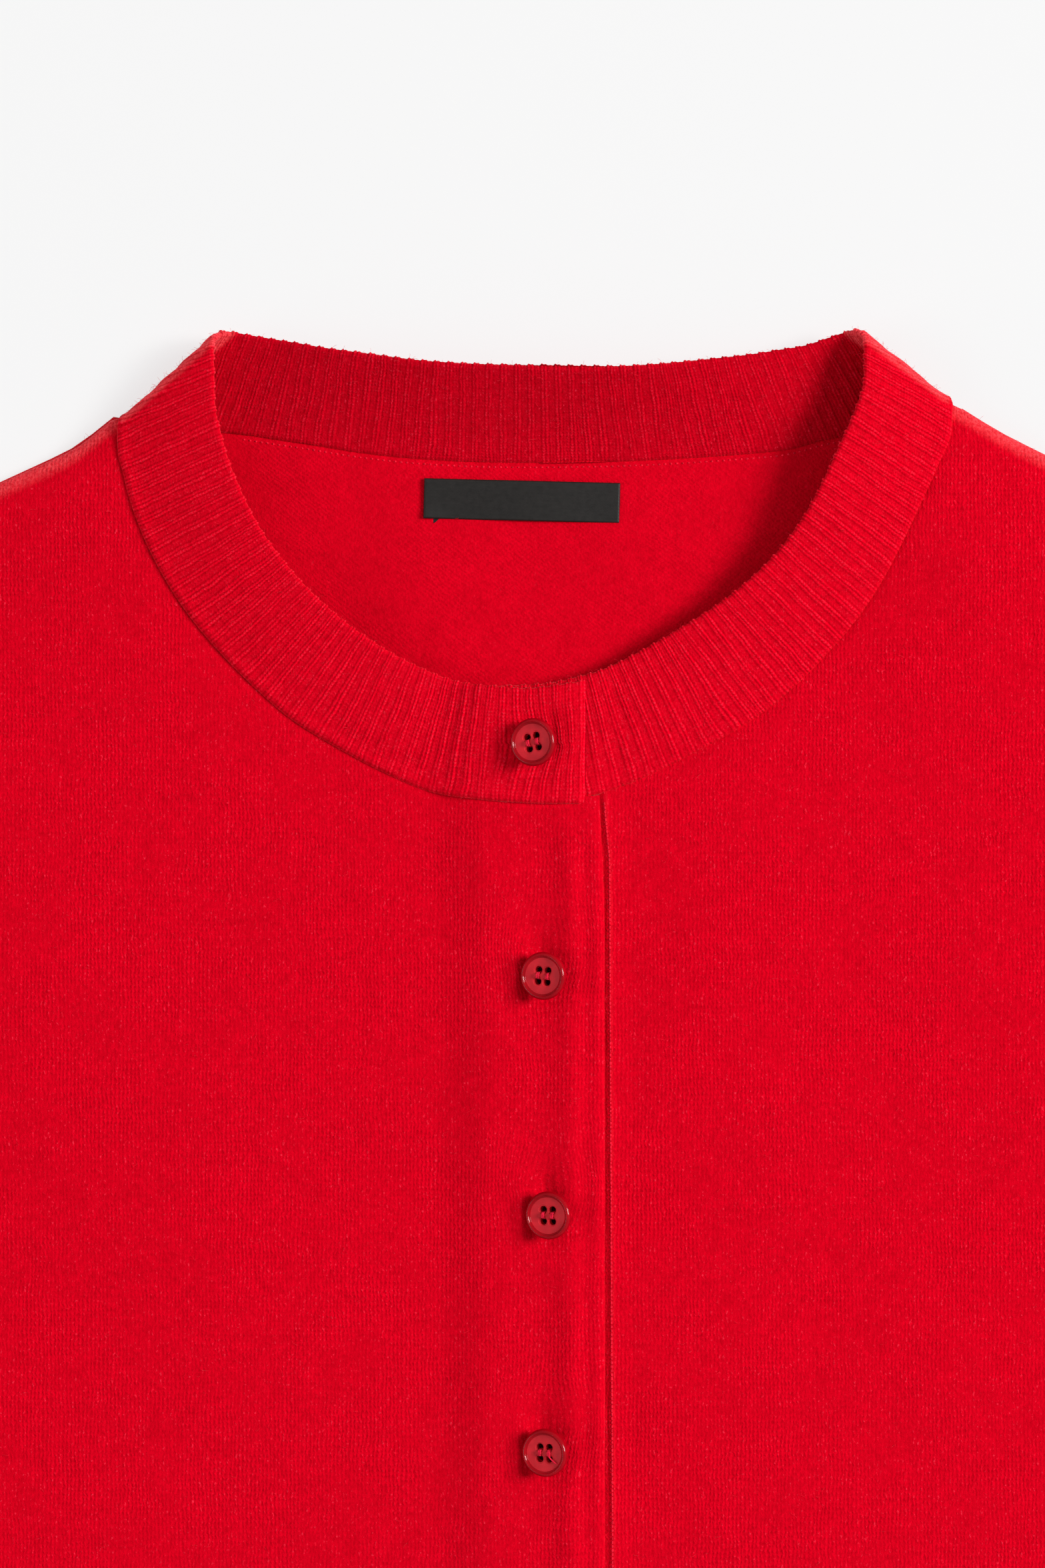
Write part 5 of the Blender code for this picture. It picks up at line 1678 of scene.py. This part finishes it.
# --------------------------------------------------------------- operators
class CARDIGAN_OT_stage(bpy.types.Operator):
    """Table top, camera and light"""
    bl_idname = "cardigan.stage"
    bl_label = "Stage"

    def execute(self, context):
        make_stage()
        return {"FINISHED"}


class CARDIGAN_OT_back(bpy.types.Operator):
    """The back, flat on the table"""
    bl_idname = "cardigan.back"
    bl_label = "Back"

    def execute(self, context):
        make_back()
        return {"FINISHED"}


class CARDIGAN_OT_fronts(bpy.types.Operator):
    """Both fronts, lapped at the centre"""
    bl_idname = "cardigan.fronts"
    bl_label = "Fronts"

    def execute(self, context):
        make_front(FRONT_LEFT)
        make_front(FRONT_RIGHT)
        return {"FINISHED"}


class CARDIGAN_OT_neckband(bpy.types.Operator):
    """The ribbed band round the neck"""
    bl_idname = "cardigan.neckband"
    bl_label = "Neckband"

    def execute(self, context):
        make_neckband()
        return {"FINISHED"}


class CARDIGAN_OT_sleeves(bpy.types.Operator):
    """Both sleeves"""
    bl_idname = "cardigan.sleeves"
    bl_label = "Sleeves"

    def execute(self, context):
        make_sleeve("right", -1, 51)
        make_sleeve("left", 1, 61)
        return {"FINISHED"}


class CARDIGAN_OT_cuffs(bpy.types.Operator):
    """Both ribbed cuffs"""
    bl_idname = "cardigan.cuffs"
    bl_label = "Cuffs"

    def execute(self, context):
        for word, side in SIDES:
            make_cuff(word, side)
        return {"FINISHED"}


class CARDIGAN_OT_hems(bpy.types.Operator):
    """The ribbed hem in three pieces"""
    bl_idname = "cardigan.hems"
    bl_label = "Hems"

    def execute(self, context):
        make_hem_back()
        make_hem(FRONT_RIGHT)
        make_hem(FRONT_LEFT)
        return {"FINISHED"}


class CARDIGAN_OT_label(bpy.types.Operator):
    """The bare neck label"""
    bl_idname = "cardigan.label"
    bl_label = "Label"

    def execute(self, context):
        make_label()
        return {"FINISHED"}


class CARDIGAN_OT_buttons(bpy.types.Operator):
    """Turned four-hole buttons"""
    bl_idname = "cardigan.buttons"
    bl_label = "Buttons"

    def execute(self, context):
        make_buttons()
        return {"FINISHED"}


class CARDIGAN_OT_thread(bpy.types.Operator):
    """Thread bars and shanks of the buttons"""
    bl_idname = "cardigan.thread"
    bl_label = "Thread"

    def execute(self, context):
        make_thread()
        return {"FINISHED"}


class CARDIGAN_OT_stitching(bpy.types.Operator):
    """Chain and linking stitches"""
    bl_idname = "cardigan.stitching"
    bl_label = "Stitching"

    def execute(self, context):
        make_stitching()
        return {"FINISHED"}


class CARDIGAN_OT_fuzz(bpy.types.Operator):
    """Loose fibres on the knit"""
    bl_idname = "cardigan.fuzz"
    bl_label = "Nap"

    def execute(self, context):
        make_fuzz()
        return {"FINISHED"}


OPERATORS = (CARDIGAN_OT_stage, CARDIGAN_OT_back, CARDIGAN_OT_fronts, CARDIGAN_OT_neckband,
             CARDIGAN_OT_sleeves, CARDIGAN_OT_cuffs, CARDIGAN_OT_hems, CARDIGAN_OT_label,
             CARDIGAN_OT_buttons, CARDIGAN_OT_thread, CARDIGAN_OT_stitching, CARDIGAN_OT_fuzz)


class CARDIGAN_PT_panel(bpy.types.Panel):
    """Lists the pieces of the cardigan."""
    bl_label = "Button cardigan"
    bl_space_type = "VIEW_3D"
    bl_region_type = "UI"
    bl_category = "Cardigan"

    def draw(self, context):
        for kind in OPERATORS:
            self.layout.operator(kind.bl_idname)


CLASSES = (CardiganSizes, CardiganColours, *OPERATORS, CARDIGAN_PT_panel)


def register():
    for kind in CLASSES:
        bpy.utils.register_class(kind)
    bpy.types.Scene.cardigan_sizes = bpy.props.PointerProperty(type=CardiganSizes)
    bpy.types.Scene.cardigan_colours = bpy.props.PointerProperty(type=CardiganColours)


def unregister():
    del bpy.types.Scene.cardigan_colours
    del bpy.types.Scene.cardigan_sizes
    for kind in reversed(CLASSES):
        bpy.utils.unregister_class(kind)


def main():
    register()
    for kind in OPERATORS:
        getattr(bpy.ops.cardigan, kind.bl_idname.split(".")[1])()


if __name__ == "__main__":
    main()
